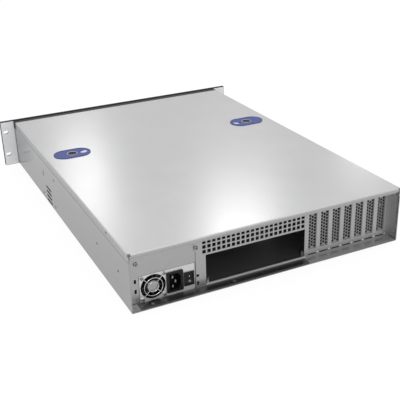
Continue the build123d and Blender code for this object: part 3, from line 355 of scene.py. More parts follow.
@dataclass(frozen=True)
class Finish:
    """A named look of one tone; each kind of surface fills in how it is made."""

    name: str
    tone: Colour

    def build(self) -> bpy.types.Material:
        """Makes the material.

        Returns:
            The material.
        """
        shader = Shader(self.name)
        self.fill(shader)
        return shader.material

    def fill(self, shader: Shader) -> None:
        """Puts the surface together; every kind of surface has its own way."""
        raise NotImplementedError(self.name)


@dataclass(frozen=True)
class ZincSheet(Finish):
    """Zinc-coated sheet steel with faint rolling marks, specks and soft clouds."""

    grain: Axis = Axis.Y
    roughness: float = 0.36
    cloud: float = 0.05
    metal: float = 0.85
    speck: float = 0.12
    scratch: float = 0.002 * MM
    zones: tuple[Zone, ...] = ()
    mark: float = 0.03
    mark_size: float = 1.2 * MM
    mark_stretch: float = 0.04
    speck_size: float = 1.1 * MM
    cloud_size: float = 55 * MM
    uneven: tuple[float, float] = (-0.02, 0.03)

    def fill(self, shader: Shader) -> None:
        """Puts the surface together.

        Args:
            shader: The material's nodes.
        """
        along = tuple(self.mark_stretch if axis is self.grain else 1.0 for axis in Axis)
        marks = shader.noise(self.mark_size, detail=4.0, stretch=along)
        clouds = shader.noise(self.cloud_size, detail=3.0)
        specks = shader.noise(self.speck_size, detail=1.0)
        colour, metal, rough = shader.zoned(self.tone, self.metal, self.roughness, self.zones)
        for noise, share in ((clouds, self.cloud), (marks, self.mark), (specks, self.speck / 2)):
            colour = shader.wash(colour, noise, share)
        rough = shader.math("ADD", rough, shader.span(clouds, *self.uneven))
        shader.paint(colour, rough, metallic=metal)
        shader.relief(marks, self.scratch)


@dataclass(frozen=True)
class PowderCoat(Finish):
    """Fine-textured paint on steel."""

    roughness: float = 0.5
    grain_size: float = 0.5 * MM
    grain_depth: float = 0.02 * MM
    cloud_size: float = 60 * MM
    swing: tuple[float, float] = (0.88, 1.12)
    uneven: tuple[float, float] = (-0.06, 0.08)

    def fill(self, shader: Shader) -> None:
        """Puts the surface together.

        Args:
            shader: The material's nodes.
        """
        grains = shader.noise(self.grain_size)
        clouds = shader.noise(self.cloud_size)
        rough = shader.span(grains, *(self.roughness + step for step in self.uneven))
        shader.paint(shader.mottle(clouds, self.tone, self.swing), rough)
        shader.relief(grains, self.grain_depth)


@dataclass(frozen=True)
class MouldedPlastic(Finish):
    """Injection-moulded plastic with a fine spark-eroded grain."""

    roughness: float = 0.42
    rub: float = 0.12
    gloss: float = 1.45
    zones: tuple[Zone, ...] = ()
    grain_size: float = 0.25 * MM
    grain_depth: float = 0.006 * MM
    flow_size: float = 9 * MM
    flow_stretch: Point = (1.0, 1.6, 1.0)
    uneven: tuple[float, float] = (-0.05, 0.06)

    def fill(self, shader: Shader) -> None:
        """Puts the surface together.

        Args:
            shader: The material's nodes.
        """
        grains = shader.noise(self.grain_size)
        flow = shader.noise(self.flow_size, stretch=self.flow_stretch)
        colour, metal, rough = shader.zoned(self.tone, 0.0, self.roughness, self.zones)
        rough = shader.math("ADD", rough, shader.span(flow, *self.uneven))
        shader.paint(shader.wash(colour, flow, self.rub), rough, metallic=metal, ior=self.gloss)
        shader.relief(grains, self.grain_depth)


@dataclass(frozen=True)
class BrightMetal(Finish):
    """Plated or bare metal that was formed or turned."""

    roughness: float = 0.2
    wear_size: float = 2.5 * MM
    swing: tuple[float, float] = (0.86, 1.06)
    line_size: float = 0.3 * MM
    line_depth: float = 0.003 * MM
    line_stretch: Point = (1.0, 1.0, 0.2)
    uneven: tuple[float, float] = (-0.04, 0.08)

    def fill(self, shader: Shader) -> None:
        """Puts the surface together.

        Args:
            shader: The material's nodes.
        """
        wear = shader.noise(self.wear_size, detail=3.0)
        lines = shader.noise(self.line_size, stretch=self.line_stretch)
        rough = shader.span(wear, *(self.roughness + step for step in self.uneven))
        shader.paint(shader.mottle(wear, self.tone, self.swing), rough, metallic=1.0)
        shader.relief(lines, self.line_depth)


@dataclass(frozen=True)
class CoatedBoard(Finish):
    """A printed board: green varnish over copper tracks."""

    tracks_per_metre: float = 380.0
    track_shine: float = 1.7
    track_depth: float = 0.03 * MM
    track_edge: tuple[float, float] = (0.05, 0.11)
    film_size: float = 6 * MM
    film_roughness: tuple[float, float] = (0.22, 0.34)

    def fill(self, shader: Shader) -> None:
        """Puts the surface together.

        Args:
            shader: The material's nodes.
        """
        inputs = {"Vector": shader.place(), "Scale": self.tracks_per_metre}
        cells = shader.node("TexVoronoi", inputs, feature="DISTANCE_TO_EDGE")
        tracks = cells.outputs["Distance"]
        film = shader.noise(self.film_size)
        start, end = self.track_edge
        stops = [(start, shade(self.tone, self.track_shine)), (end, self.tone)]
        shader.paint(shader.ramp(tracks, stops), shader.span(film, *self.film_roughness))
        shader.relief(tracks, self.track_depth)


@dataclass(frozen=True)
class ClearLens(Finish):
    """Tinted plastic that lets light through."""

    haze_size: float = 1.5 * MM
    haze_depth: float = 0.02 * MM
    haze_roughness: tuple[float, float] = (0.12, 0.25)
    swing: tuple[float, float] = (0.9, 1.08)
    clearness: float = 0.5
    gloss: float = 1.49

    def fill(self, shader: Shader) -> None:
        """Puts the surface together.

        Args:
            shader: The material's nodes.
        """
        haze = shader.noise(self.haze_size)
        colour = shader.mottle(haze, self.tone, self.swing)
        rough = shader.span(haze, *self.haze_roughness)
        shader.paint(colour, rough, transmission_weight=self.clearness, ior=self.gloss)
        shader.relief(haze, self.haze_depth)


@dataclass(frozen=True)
class CoverSheet:
    """The cover's sheet, with shade painted on its bent-down flanges, which are darker than its
    top.
    """

    tone: Colour = (0.74, 0.74, 0.745)
    flange_shade_tone: Colour = (0.46, 0.46, 0.47)
    top_sheet: float = 1.5 * MM

    def finish(self) -> ZincSheet:
        """The sheet with its zone of painted shade on the flanges.

        Returns:
            The finish.
        """
        low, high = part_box("top_cover")
        flange_top = (high.x + MM, high.y + MM, high.z - self.top_sheet)
        # painted shade: the side and rear flanges are darker only because they face sideways and
        # catch less light
        flanges = Zone(tuple(low - Vector((MM, MM, MM))), flange_top, self.flange_shade_tone)
        return ZincSheet(
            "cover_sheet", self.tone, Axis.Y, roughness=0.25, cloud=0.02, metal=1.0, speck=0.03,
            scratch=0.0002 * MM, zones=(flanges,),
        )


@dataclass(frozen=True)
class TraySheet:
    """The tray's sheet, bright on the rack ears, with shade painted on the inner face of the right
    wall.
    """

    tone: Colour = (0.43, 0.43, 0.435)
    ear_tone: Colour = (0.97, 0.98, 1.0)
    ear_middle: float = 229 * MM
    ear_half: float = 13 * MM
    ear_depth: float = 4 * MM
    wall_shade_tone: Colour = (0.33, 0.33, 0.335)
    wall_step: float = 17 * MM
    wall_depth: float = 4 * MM
    wall_front: float = 288 * MM
    floor: float = 2 * MM

    def finish(self) -> ZincSheet:
        """The sheet with its zones.

        Returns:
            The finish.
        """
        low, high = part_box("chassis_tray")
        front, back = low.y - MM, low.y + self.ear_depth
        zones = []
        for middle in (-self.ear_middle, self.ear_middle):
            near, far = middle - self.ear_half, middle + self.ear_half
            corners = (near, front, low.z), (far, back, high.z)
            zones.append(Zone(*corners, self.ear_tone, metal=0.3, roughness=0.5))
        # painted shade: the inner face of the right wall is darker only because it lies in the
        # shade inside the case
        wall = -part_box("psu_case")[1].x - self.wall_step
        inner = (wall + self.wall_depth, high.y + MM, high.z)
        zones.append(Zone((wall, self.wall_front, self.floor), inner, self.wall_shade_tone))
        return ZincSheet(
            "body_sheet", self.tone, Axis.Y, roughness=0.20, cloud=0.03, zones=tuple(zones)
        )


@dataclass(frozen=True)
class PanelSheet:
    """The rear panel's sheet, with painted light: a lighter sill under the aperture, painted shade
    and reflection on the ledge, and painted highlights at the slit ends.
    """

    tone: Colour = (0.50, 0.50, 0.505)
    upright: float = 1.4 * MM
    sill_painted_light: Colour = (0.62, 0.62, 0.625)
    sill: tuple[float, float] = (-62 * MM, 99 * MM)
    sill_height: float = 5.2 * MM
    ledge_shade_tone: Colour = (0.15, 0.15, 0.15)
    ledge_light: Colour = (0.50, 0.50, 0.50)
    ledge: tuple[float, float] = (-60 * MM, 201.5 * MM)
    ledge_height: float = 3 * MM
    slit_highlight_tone: Colour = (0.95, 0.95, 0.95)
    slit: tuple[float, float] = (-1.7 * MM, 0.3 * MM)
    slit_rise: tuple[float, float] = (6.2 * MM, 8.2 * MM)

    def finish(self) -> ZincSheet:
        """The sheet with its zones.

        Returns:
            The finish.
        """
        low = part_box("rear_panel")[0]
        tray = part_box("chassis_tray")[1]
        face, back = low.y + self.upright, tray.y + MM
        start, end = self.ledge
        left, right = self.sill
        sill = (left, low.y - MM, 0.0), (right, face, self.sill_height)
        zones = [
            # painted light: the sill is lighter to make up for the dark ledge that it reflects
            Zone(*sill, self.sill_painted_light, metal=0.3),
            # painted shade and reflection: the ledge is dark under the supply and the aperture, and
            # keeps the plain tone under the slots
            Zone((start, face, -MM), (end, back, self.ledge_height), self.ledge_shade_tone),
            Zone((-tray.x, face, -MM), (start, back, self.ledge_height), self.ledge_light),
        ]
        # painted highlights: a bright spot at one end of each slit under the covers
        for name in SLOT_COVERS:
            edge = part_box(name)[0].x
            first = (edge + self.slit[0], low.y, self.slit_rise[0])
            last = (edge + self.slit[1], face, self.slit_rise[1])
            zones.append(Zone(first, last, self.slit_highlight_tone, metal=0.2))
        return ZincSheet("panel_sheet", self.tone, Axis.X, roughness=0.30, zones=tuple(zones))


@dataclass(frozen=True)
class LatchPlastic:
    """The latches' plastic, with a painted highlight where the finger scoops catch the light."""

    tone: Colour = (0.058, 0.082, 0.32)
    pale: Colour = (0.80, 0.86, 1.0)
    offset: Point = (-20.5 * MM, -1 * MM, -3 * MM)
    reach: Point = (6 * MM, 5 * MM, 6 * MM)

    def finish(self) -> MouldedPlastic:
        """The plastic with a painted highlight, a pale spot, in each latch's finger scoop.

        Returns:
            The finish.
        """
        scoop_highlights, reach = [], Vector(self.reach)
        # painted highlight: a pale egg in each finger scoop stands in for the light it catches
        for side in Side:
            low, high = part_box("latch_bezel_" + side.word)
            middle = Vector(((low.x + high.x) / 2, (low.y + high.y) / 2, high.z))
            middle += Vector((side.value * self.offset[0], *self.offset[1:]))
            corners = tuple(middle - reach), tuple(middle + reach)
            scoop_highlights.append(Zone(*corners, self.pale, metal=0.0, egg=True))
        return MouldedPlastic(
            "blue_latch_plastic", self.tone, roughness=0.40, rub=0.10, gloss=1.38,
            zones=tuple(scoop_highlights),
        )


@dataclass(frozen=True)
class SupplySheet:
    """The power supply's sheet, with shade painted in a strip along its left and top edges, where
    the gap to the panel lies.
    """

    tone: Colour = (0.78, 0.78, 0.785)
    gap_shade_tone: Colour = (0.10, 0.10, 0.10)
    gap: float = 0.7 * MM
    depth: float = 3 * MM

    def finish(self) -> ZincSheet:
        """The sheet with its zones.

        Returns:
            The finish.
        """
        low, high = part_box("psu_case")
        front, corner = high.y - self.depth, tuple(high + Vector((MM, MM, MM)))
        # painted shade: the strips stand in for the shade in the gap round the supply
        left = Zone((high.x - self.gap, front, low.z), corner, self.gap_shade_tone)
        top = Zone((low.x - MM, front, high.z - self.gap), corner, self.gap_shade_tone)
        return ZincSheet(
            "supply_sheet", self.tone, Axis.X, roughness=0.38, cloud=0.03, metal=0.6,
            zones=(left, top),
        )


class Palette:
    """Every finish of the case, each made once.

    After its name and tone, a sheet has its grain and roughness, a plastic its roughness, rub
    and gloss, and a metal or paint its roughness.
    """

    def __init__(self) -> None:
        """Names all the finishes."""
        self.cover = CoverSheet().finish()
        self.body = TraySheet().finish()
        self.panel = PanelSheet().finish()
        self.adapter = ZincSheet("adapter_sheet", (0.50, 0.50, 0.505), Axis.X, 0.32)
        # painted shade: the slot covers are darker than the panel only because they sit recessed
        # behind its windows
        self.slots = ZincSheet("slot_cover_sheet", (0.36, 0.36, 0.365), Axis.Z, 0.32)
        self.supply = SupplySheet().finish()
        # painted shade: the inner parts are darker only because they lie in the shade under the
        # cover
        self.inner = ZincSheet("inner_sheet_painted_shade", (0.30, 0.30, 0.305), Axis.X, 0.35)
        self.black_paint = PowderCoat("black_front_paint", (0.020, 0.020, 0.022), 0.52)
        self.blue = LatchPlastic().finish()
        self.button = MouldedPlastic("latch_button_plastic", (0.024, 0.012, 0.009), 0.4, 0.3, 1.28)
        self.fan = MouldedPlastic("fan_plastic", (0.012, 0.012, 0.013), 0.45, 0.2, 1.36)
        self.socket = MouldedPlastic("socket_plastic", (0.008, 0.008, 0.009), 0.34, 0.2, 1.34)
        self.key = MouldedPlastic("front_key_plastic", (0.05, 0.05, 0.052), 0.35, 0.15)
        self.print = MouldedPlastic("pale_print", (0.72, 0.72, 0.70), 0.5, 0.05)
        self.wire = BrightMetal("plated_wire", (0.78, 0.78, 0.77), 0.16)
        self.screw = BrightMetal("plated_screw", (0.34, 0.34, 0.335), 0.28)
        self.ring = BrightMetal("latch_ring_metal", (0.76, 0.75, 0.73), 0.18)
        self.standoff = BrightMetal("turned_steel", (0.80, 0.79, 0.77), 0.28)
        self.hub = BrightMetal("fan_hub_foil", (0.50, 0.50, 0.51), 0.40)
        self.board = CoatedBoard("control_board_varnish", (0.012, 0.10, 0.035))
        self.lens = ClearLens("lamp_lens", (0.55, 0.75, 0.45))
        self._made: dict[str, bpy.types.Material] = {}

    def of(self, finish: Finish) -> bpy.types.Material:
        """The material of a finish, made on first use.

        Args:
            finish: One of the palette's finishes.

        Returns:
            The material.
        """
        if finish.name not in self._made:
            self._made[finish.name] = finish.build()
        return self._made[finish.name]

    def dress(self, finish: Finish, *nodes: str) -> None:
        """Gives CAD nodes a finish.

        Args:
            finish: One of the palette's finishes.
            nodes: Names of the nodes.
        """
        for name in nodes:
            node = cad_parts[name]
            if not node.material_slots:
                node.data.materials.append(None)
            for slot in node.material_slots:
                slot.material = self.of(finish)

    def dress_all(self) -> None:
        """Gives every CAD node its finish."""
        self.dress(self.cover, "top_cover")
        self.dress(self.body, "chassis_tray")
        self.dress(self.panel, "rear_panel", "slot_panel")
        self.dress(self.adapter, "psu_adapter_plate")
        self.dress(self.slots, *SLOT_COVERS)
        self.dress(self.supply, "psu_case")
        self.dress(self.inner, "fan_wall", "drive_cage", "psu_stop")
        self.dress(self.inner, "latch_strike_left", "latch_strike_right")
        self.dress(self.black_paint, "front_plate", "front_frame")
        self.dress(self.blue, "latch_bezel_left", "latch_bezel_right")
        self.dress(self.button, "latch_button_left", "latch_button_right")
        self.dress(self.key, "power_button", "reset_button")
        self.dress(self.fan, "psu_fan_frame", "psu_fan_rotor")
        for number in (1, 2, 3):
            self.dress(self.fan, "case_fan_frame_%d" % number, "case_fan_rotor_%d" % number)
        self.dress(self.socket, "mains_inlet", "switch_bezel", "switch_rocker")
        self.dress(self.wire, "psu_fan_guard")
        self.dress(self.screw, "adapter_screws", "slot_cover_screws", "ledge_screws")
        self.dress(self.screw, "guard_screws", "usb_ports", "inlet_pins")
        self.dress(self.standoff, "board_standoffs")
        self.dress(self.board, "control_board")
        self.dress(self.lens, "status_lamps")


class Bench:
    """The modelling bench: pieces are started, shaped and finished here."""

    SMOOTH_BELOW = math.radians(35.0)

    @staticmethod
    def clear() -> None:
        """Leaves edit mode and deselects everything."""
        if bpy.context.object and bpy.context.object.mode != "OBJECT":
            bpy.ops.object.mode_set(mode="OBJECT")
        bpy.ops.object.select_all(action="DESELECT")

    @staticmethod
    def pick(piece: bpy.types.Object) -> None:
        """Makes one piece the only one at hand.

        Args:
            piece: The piece.
        """
        Bench.clear()
        piece.select_set(True)
        bpy.context.view_layer.objects.active = piece

    @staticmethod
    def settle() -> bpy.types.Object:
        """Bakes the new primitive's place into its mesh and returns it."""
        bpy.ops.object.transform_apply(location=True, rotation=True, scale=True)
        return bpy.context.object

    @staticmethod
    def drop(piece: bpy.types.Object) -> None:
        """Takes a piece away once it has been copied or used up."""
        bpy.data.objects.remove(piece, do_unlink=True)

    @staticmethod
    def rod(
        radius: float, low: float, high: float, centre: Point, axis: Axis, sides: int = 48
    ) -> bpy.types.Object:
        """Starts a rod along an axis.

        Args:
            radius: Its radius.
            low: Where it starts along the axis.
            high: Where it ends along the axis.
            centre: A point on its middle line.
            axis: Its direction.
            sides: How many flats it is made of.

        Returns:
            The rod.
        """
        Bench.clear()
        place = Vector(centre)
        place[list(Axis).index(axis)] = (low + high) / 2
        bpy.ops.mesh.primitive_cylinder_add(
            vertices=sides, radius=radius, depth=high - low, location=place, rotation=axis.turn
        )
        return Bench.settle()

    @staticmethod
    def box(low: Point, high: Point) -> bpy.types.Object:
        """Starts a box between two corners.

        Args:
            low: The lowest corner.
            high: The highest corner.

        Returns:
            The box.
        """
        Bench.clear()
        low, high = Vector(low), Vector(high)
        bpy.ops.mesh.primitive_cube_add(size=1.0, location=(low + high) / 2, scale=high - low)
        return Bench.settle()

    @staticmethod
    def ball(radii: Point, centre: Point) -> bpy.types.Object:
        """Starts a ball that may be stretched.

        Args:
            radii: Its radius along each axis.
            centre: Its middle.

        Returns:
            The ball.
        """
        Bench.clear()
        bpy.ops.mesh.primitive_uv_sphere_add(
            segments=32, ring_count=16, location=centre, scale=radii
        )
        return Bench.settle()

    @staticmethod
    def hoop(
        radius: float, wire: float, centre: Point, axis: Axis, steps: int = 64
    ) -> bpy.types.Object:
        """Starts a wire hoop.

        Args:
            radius: The radius of its middle line.
            wire: The wire's radius.
            centre: Its middle.
            axis: What it turns about.
            steps: How many pieces its round has.

        Returns:
            The hoop.
        """
        Bench.clear()
        bpy.ops.mesh.primitive_torus_add(
            major_radius=radius, minor_radius=wire, major_segments=steps, minor_segments=10,
            location=centre, rotation=axis.turn,
        )
        return Bench.settle()

    @staticmethod
    def _edit(piece: bpy.types.Object, kind: str) -> bmesh.types.BMesh:
        """Enters edit mode with nothing selected.

        Args:
            piece: The piece to shape.
            kind: What will be selected: FACE or EDGE.

        Returns:
            The mesh under edit.
        """
        Bench.pick(piece)
        bpy.ops.object.mode_set(mode="EDIT")
        bpy.ops.mesh.select_mode(type=kind)
        bpy.ops.mesh.select_all(action="DESELECT")
        return bmesh.from_edit_mesh(piece.data)

    @staticmethod
    def faces(piece: bpy.types.Object, test: Test) -> None:
        """Enters edit mode with some faces selected.

        Args:
            piece: The piece to shape.
            test: Says of a face's middle and normal whether it is selected.
        """
        shape = Bench._edit(piece, "FACE")
        for face in shape.faces:
            if test(face.calc_center_median(), face.normal):
                face.select_set(True)
        bmesh.update_edit_mesh(piece.data)

    @staticmethod
    def edges(piece: bpy.types.Object, test: Test) -> None:
        """Enters edit mode with some edges selected.

        Args:
            piece: The piece to shape.
            test: Says of an edge's middle and direction whether it is selected.
        """
        shape = Bench._edit(piece, "EDGE")
        for edge in shape.edges:
            first, last = (corner.co for corner in edge.verts)
            if test((first + last) / 2, (last - first).normalized()):
                edge.select_set(True)
        bmesh.update_edit_mesh(piece.data)

    @staticmethod
    def inset(width: float, drop: float = 0.0) -> None:
        """Insets the selected faces and sinks or raises what is inside."""
        bpy.ops.mesh.inset(thickness=width, depth=drop)

    @staticmethod
    def push(offset: Point) -> None:
        """Extrudes the selected faces by an offset."""
        bpy.ops.mesh.extrude_region_move(TRANSFORM_OT_translate={"value": offset})

    @staticmethod
    def soften(width: float, steps: int = 2) -> None:
        """Bevels the selected edges and leaves edit mode."""
        bpy.ops.mesh.bevel(offset=width, segments=steps, affect="EDGES")
        Bench.clear()

    @staticmethod
    def apply(piece: bpy.types.Object, kind: str, **settings: object) -> None:
        """Adds a modifier and applies it.

        Args:
            piece: The piece it works on.
            kind: The modifier's type.
            settings: Its properties.
        """
        Bench.pick(piece)
        made = piece.modifiers.new("shape", kind)
        for key, value in settings.items():
            setattr(made, key, value)
        bpy.ops.object.modifier_apply(modifier=made.name)

    @staticmethod
    def carve(piece: bpy.types.Object, tool: bpy.types.Object) -> None:
        """Cuts a piece with another, which is used up."""
        Bench.apply(piece, "BOOLEAN", object=tool, operation="DIFFERENCE", solver="EXACT")
        Bench.drop(tool)

    @staticmethod
    def twin(piece: bpy.types.Object, move: Matrix) -> bpy.types.Object:
        """A copy of a piece with its own mesh, moved.

        Args:
            piece: What is copied.
            move: Where the copy goes.

        Returns:
            The copy.
        """
        copy = piece.copy()
        copy.data = piece.data.copy()
        copy.data.transform(move)
        bpy.context.collection.objects.link(copy)
        return copy

    @staticmethod
    def gather(parts: Sequence[bpy.types.Object]) -> bpy.types.Object:
        """Joins several parts into one piece.

        Args:
            parts: The parts.

        Returns:
            The joined piece.
        """
        Bench.pick(parts[0])
        for part in parts:
            part.select_set(True)
        bpy.ops.object.join()
        return bpy.context.object

    @staticmethod
    def finish(
        piece: bpy.types.Object, name: str, look: bpy.types.Material, body: str, slot: str,
        stands_for: Sequence[str] = (),
    ) -> None:
        """Names a piece, gives it its look and hands it to its body.

        Args:
            piece: The shaped piece.
            name: Its name.
            look: Its material.
            body: The body that carries it.
            slot: A name for its finish's slot; not used.
            stands_for: The CAD nodes that it replaces.
        """
        Bench.pick(piece)
        bpy.ops.object.shade_smooth_by_angle(angle=Bench.SMOOTH_BELOW)
        piece.name = name
        piece.data.name = name
        piece.data.materials.clear()
        piece.data.materials.append(look)
        for face in piece.data.polygons:
            face.material_index = 0
        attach(piece, body)
        if stands_for:
            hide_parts(*stands_for)
        log.info("%s: %d faces, rides on %s", name, len(piece.data.polygons), body)


@dataclass
class PhotoCamera:
    """The camera that took the picture, on a standard frame."""

    azimuth: float = 154.75
    elevation: float = 24.48
    roll: float = -1.68
    distance: float = 1.2427
    focal_px: float = 748.57
    picture_px: float = 400.0
    target: Point = (0.0, 0.0586, 0.0440)
    target_px: tuple[float, float] = (196.66, 184.55)
    sensor_mm: float = 36.0
    clip: tuple[float, float] = (0.05, 50.0)

    def build(self) -> None:
        """Makes the camera and sets it for the scene."""
        turn, rise, lean = map(math.radians, (self.azimuth, self.elevation, self.roll))
        flat = math.cos(rise)
        back = Vector((math.sin(turn) * flat, -math.cos(turn) * flat, math.sin(rise)))
        sideways = Axis.Z.vector.cross(back).normalized()
        upright = back.cross(sideways)
        right = sideways * math.cos(lean) + upright * math.sin(lean)
        up = upright * math.cos(lean) - sideways * math.sin(lean)
        middle = self.picture_px / 2
        per_px = self.distance / self.focal_px
        place = Vector(self.target) + back * self.distance
        place += right * (middle - self.target_px[0]) * per_px
        place += up * (self.target_px[1] - middle) * per_px
        data = bpy.data.cameras.new("photo_camera")
        data.sensor_width = self.sensor_mm
        data.lens = self.focal_px / self.picture_px * self.sensor_mm
        data.clip_start, data.clip_end = self.clip
        camera = bpy.data.objects.new("photo_camera", data)
        turned = Matrix((right, up, back)).transposed().to_4x4()
        camera.matrix_world = Matrix.Translation(place) @ turned
        bpy.context.collection.objects.link(camera)
        bpy.context.scene.camera = camera


@dataclass(frozen=True)
class Softbox:
    """One soft lamp that looks at the case."""

    name: str
    place: Point
    size: tuple[float, float]
    watts: float

    def build(self) -> None:
        """Hangs the lamp."""
        data = bpy.data.lights.new(self.name, "AREA")
        data.energy = self.watts
        data.shape = "RECTANGLE"
        data.size, data.size_y = self.size
        place = Vector(self.place)
        lamp = bpy.data.objects.new(self.name, data)
        turned = (-place).to_track_quat("-Z", "Y").to_matrix().to_4x4()
        lamp.matrix_world = Matrix.Translation(place) @ turned
        bpy.context.collection.objects.link(lamp)


@dataclass
class Studio:
    """A white room with a pale floor and soft lamps."""

    floor_size: float = 9.0
    floor_tone: float = 0.80
    floor_grain: float = 40 * MM
    floor_swing: float = 0.98
    floor_roughness: tuple[float, float] = (0.8, 0.9)
    floor_glow: float = 1.1
    glow_seen: float = 0.80
    glow_mirrored: float = 0.35
    room_light: float = 0.62
    sky_light: float = 0.90
    sky_height: float = 0.8
    lamps: tuple[Softbox, ...] = (
        Softbox("softbox_far_left", (-0.305, -1.657, 0.90), (0.18, 0.40), 0.30),
        Softbox("softbox_far_right", (-0.79, -1.245, 1.06), (0.26, 0.30), 0.45),
        Softbox("softbox_far_edge", (-1.36, -1.22, 0.70), (0.18, 0.14), 0.11),
        Softbox("softbox_above", (0.3, 0.6, 2.6), (1.8, 1.8), 3.0),
        Softbox("softbox_behind", (0.5, 2.5, 0.9), (1.2, 0.9), 13.0),
    )

    def build(self) -> None:
        """Makes floor, room light and lamps."""
        bpy.context.scene.view_settings.view_transform = "Standard"
        self._floor()
        self._room()
        for lamp in self.lamps:
            lamp.build()

    def _floor(self) -> None:
        """Lays the floor, which glows to white where the camera or a reflection sees it."""
        Bench.clear()
        bpy.ops.mesh.primitive_plane_add(size=self.floor_size)
        floor = bpy.context.object
        floor.name = "floor"
        shader = Shader("pale_floor")
        rays = shader.node("LightPath").outputs
        grain = shader.noise(self.floor_grain)
        tone = (self.floor_tone,) * 3
        colour = shader.ramp(grain, [(0.2, shade(tone, self.floor_swing)), (0.8, tone)])
        shader.paint(colour, shader.span(grain, *self.floor_roughness))
        glow = shader.node("Emission", {"Color": WHITE, "Strength": self.floor_glow})
        seen = shader.math("MULTIPLY", rays["Is Camera Ray"], self.glow_seen)
        mirrored = shader.math("MULTIPLY", rays["Is Glossy Ray"], self.glow_mirrored)
        share = shader.math("ADD", seen, mirrored)
        inputs = {0: share, 1: shader.surface.outputs[0], 2: glow.outputs[0]}
        mix = shader.node("MixShader", inputs)
        shader.feed(shader.tree.nodes["Material Output"].inputs["Surface"], mix.outputs[0])
        floor.data.materials.append(shader.material)

    def _room(self) -> None:
        """Lights the room softly, brighter overhead, and white where the camera sees it."""
        world = bpy.data.worlds.new("white_room")
        world.use_nodes = True
        bpy.context.scene.world = world
        room = Tree(world.node_tree)
        where = room.node("TexCoord").outputs["Generated"]
        height = room.node("SeparateXYZ", {0: where}).outputs["Z"]
        inputs = {"Value": height, "From Min": 0.0, "From Max": self.sky_height}
        inputs |= {"To Min": self.room_light, "To Max": self.sky_light}
        soft = room.tree.nodes["Background"]
        room.feed(soft.inputs["Color"], WHITE)
        room.feed(soft.inputs["Strength"], room.node("MapRange", inputs).outputs["Result"])
        plain = room.node("Background", {"Color": WHITE, "Strength": 1.0})
        seen = room.node("LightPath").outputs["Is Camera Ray"]
        mix = room.node("MixShader", {0: seen, 1: soft.outputs[0], 2: plain.outputs[0]})
        room.feed(room.tree.nodes["World Output"].inputs["Surface"], mix.outputs[0])


@dataclass
class CoverLatch:
    """One oval latch of the cover: blue housing, plated ring and dark button."""

    palette: Palette
    side: Side
    sides: int = 62
    rim_width: float = 1.5 * MM
    rim_edge: float = 0.3 * MM
    dish: float = 0.6 * MM
    dish_slope: float = 0.5 * MM
    ledge: float = 1.9 * MM
    bore: float = 7.8 * MM
    boss_floor: float = 1.6 * MM
    stem: float = 2.5 * MM
    stem_gap: float = 0.6 * MM
    scoop_offset: float = 19.5 * MM
    scoop_rise: float = 0.3 * MM
    scoop: Point = (6.8 * MM, 6.5 * MM, 3.6 * MM)
    ring_outer: float = 8.9 * MM
    ring_height: float = 0.6 * MM
    ring_seat: float = 0.4 * MM
    ring_edge: float = 0.35 * MM
    button_height: float = 4.2 * MM
    button_rim: float = 0.9 * MM
    button_slope: float = 1.2 * MM
    button_dish: float = 0.5 * MM

    def __post_init__(self) -> None:
        """Takes the latch's place from the CAD nodes."""
        self.low, self.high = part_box("latch_bezel_" + self.side.word)
        self.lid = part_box("top_cover")[1].z
        self.centre = (self.low + self.high) / 2
        self.half_width = (self.high.y - self.low.y) / 2
        self.straight = (self.high.x - self.low.x) / 2 - self.half_width
        self.dish_floor = self.high.z - self.dish

    def build(self) -> None:
        """Builds the three pieces."""
        self._housing()
        self._ring()
        self._button()

    def _housing(self) -> None:
        """The oval housing: a rod pulled long, its top dished, its cup pushed down."""
        top = self.high.z
        piece = Bench.rod(self.half_width, self.lid, top, self.centre, Axis.Z, self.sides)
        for corner in piece.data.vertices:
            corner.co.x += math.copysign(self.straight, corner.co.x - self.centre.x)
        Bench.faces(piece, facing(Axis.Z))
        Bench.inset(self.rim_width)
        Bench.inset(self.dish_slope, -self.dish)
        Bench.faces(piece, facing(Axis.Z, -1))
        Bench.inset(self.ledge)
        Bench.push((0.0, 0.0, self.low.z - self.lid))
        Bench.edges(piece, level(Axis.Z, top))
        Bench.soften(self.rim_edge)
        x = self.centre.x - self.side.value * self.scoop_offset
        scoop = Bench.ball(self.scoop, (x, self.centre.y, self.dish_floor + self.scoop_rise))
        Bench.carve(piece, scoop)
        floor = self.low.z + self.boss_floor
        Bench.carve(piece, Bench.rod(self.bore, floor, top + MM, self.centre, Axis.Z))
        hole, below = self.stem + self.stem_gap, self.low.z - MM
        Bench.carve(piece, Bench.rod(hole, below, top, self.centre, Axis.Z, sides=24))
        name, look = "latch_housing_" + self.side.word, self.palette.of(self.palette.blue)
        Bench.finish(piece, name, look, "cover", "blue_plastic", ["latch_bezel_" + self.side.word])

    def _ring(self) -> None:
        """The bright ring round the button."""
        low = self.dish_floor - self.ring_seat
        high = low + self.ring_height
        piece = Bench.rod(self.ring_outer, low, high, self.centre, Axis.Z, sides=56)
        Bench.faces(piece, lambda middle, normal: abs(normal.z) > FACING)
        Bench.inset(self.ring_outer - self.bore)
        bpy.ops.mesh.bridge_edge_loops()
        Bench.edges(piece, across(Axis.Z, low + NEAR_TOP * self.ring_height))
        Bench.soften(self.ring_edge, 3)
        name, look = "latch_ring_" + self.side.word, self.palette.of(self.palette.ring)
        Bench.finish(piece, name, look, "cover", "screws")

    def _button(self) -> None:
        """The push button with a hollow top and its stem."""
        node = "latch_button_" + self.side.word
        low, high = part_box(node)
        radius, base = (high.x - low.x) / 2, high.z - self.button_height
        piece = Bench.rod(radius, base, high.z, self.centre, Axis.Z)
        Bench.faces(piece, facing(Axis.Z))
        Bench.inset(self.button_rim)
        Bench.inset(self.button_slope, -self.button_dish)
        Bench.faces(piece, facing(Axis.Z, -1))
        Bench.inset(radius - self.stem)
        Bench.push((0.0, 0.0, low.z - base))
        Bench.edges(piece, level(Axis.Z, high.z))
        Bench.soften(self.rim_edge)
        name, look = "push_button_" + self.side.word, self.palette.of(self.palette.button)
        Bench.finish(piece, name, look, self.side.word + "_latch", "button_plastic", [node])


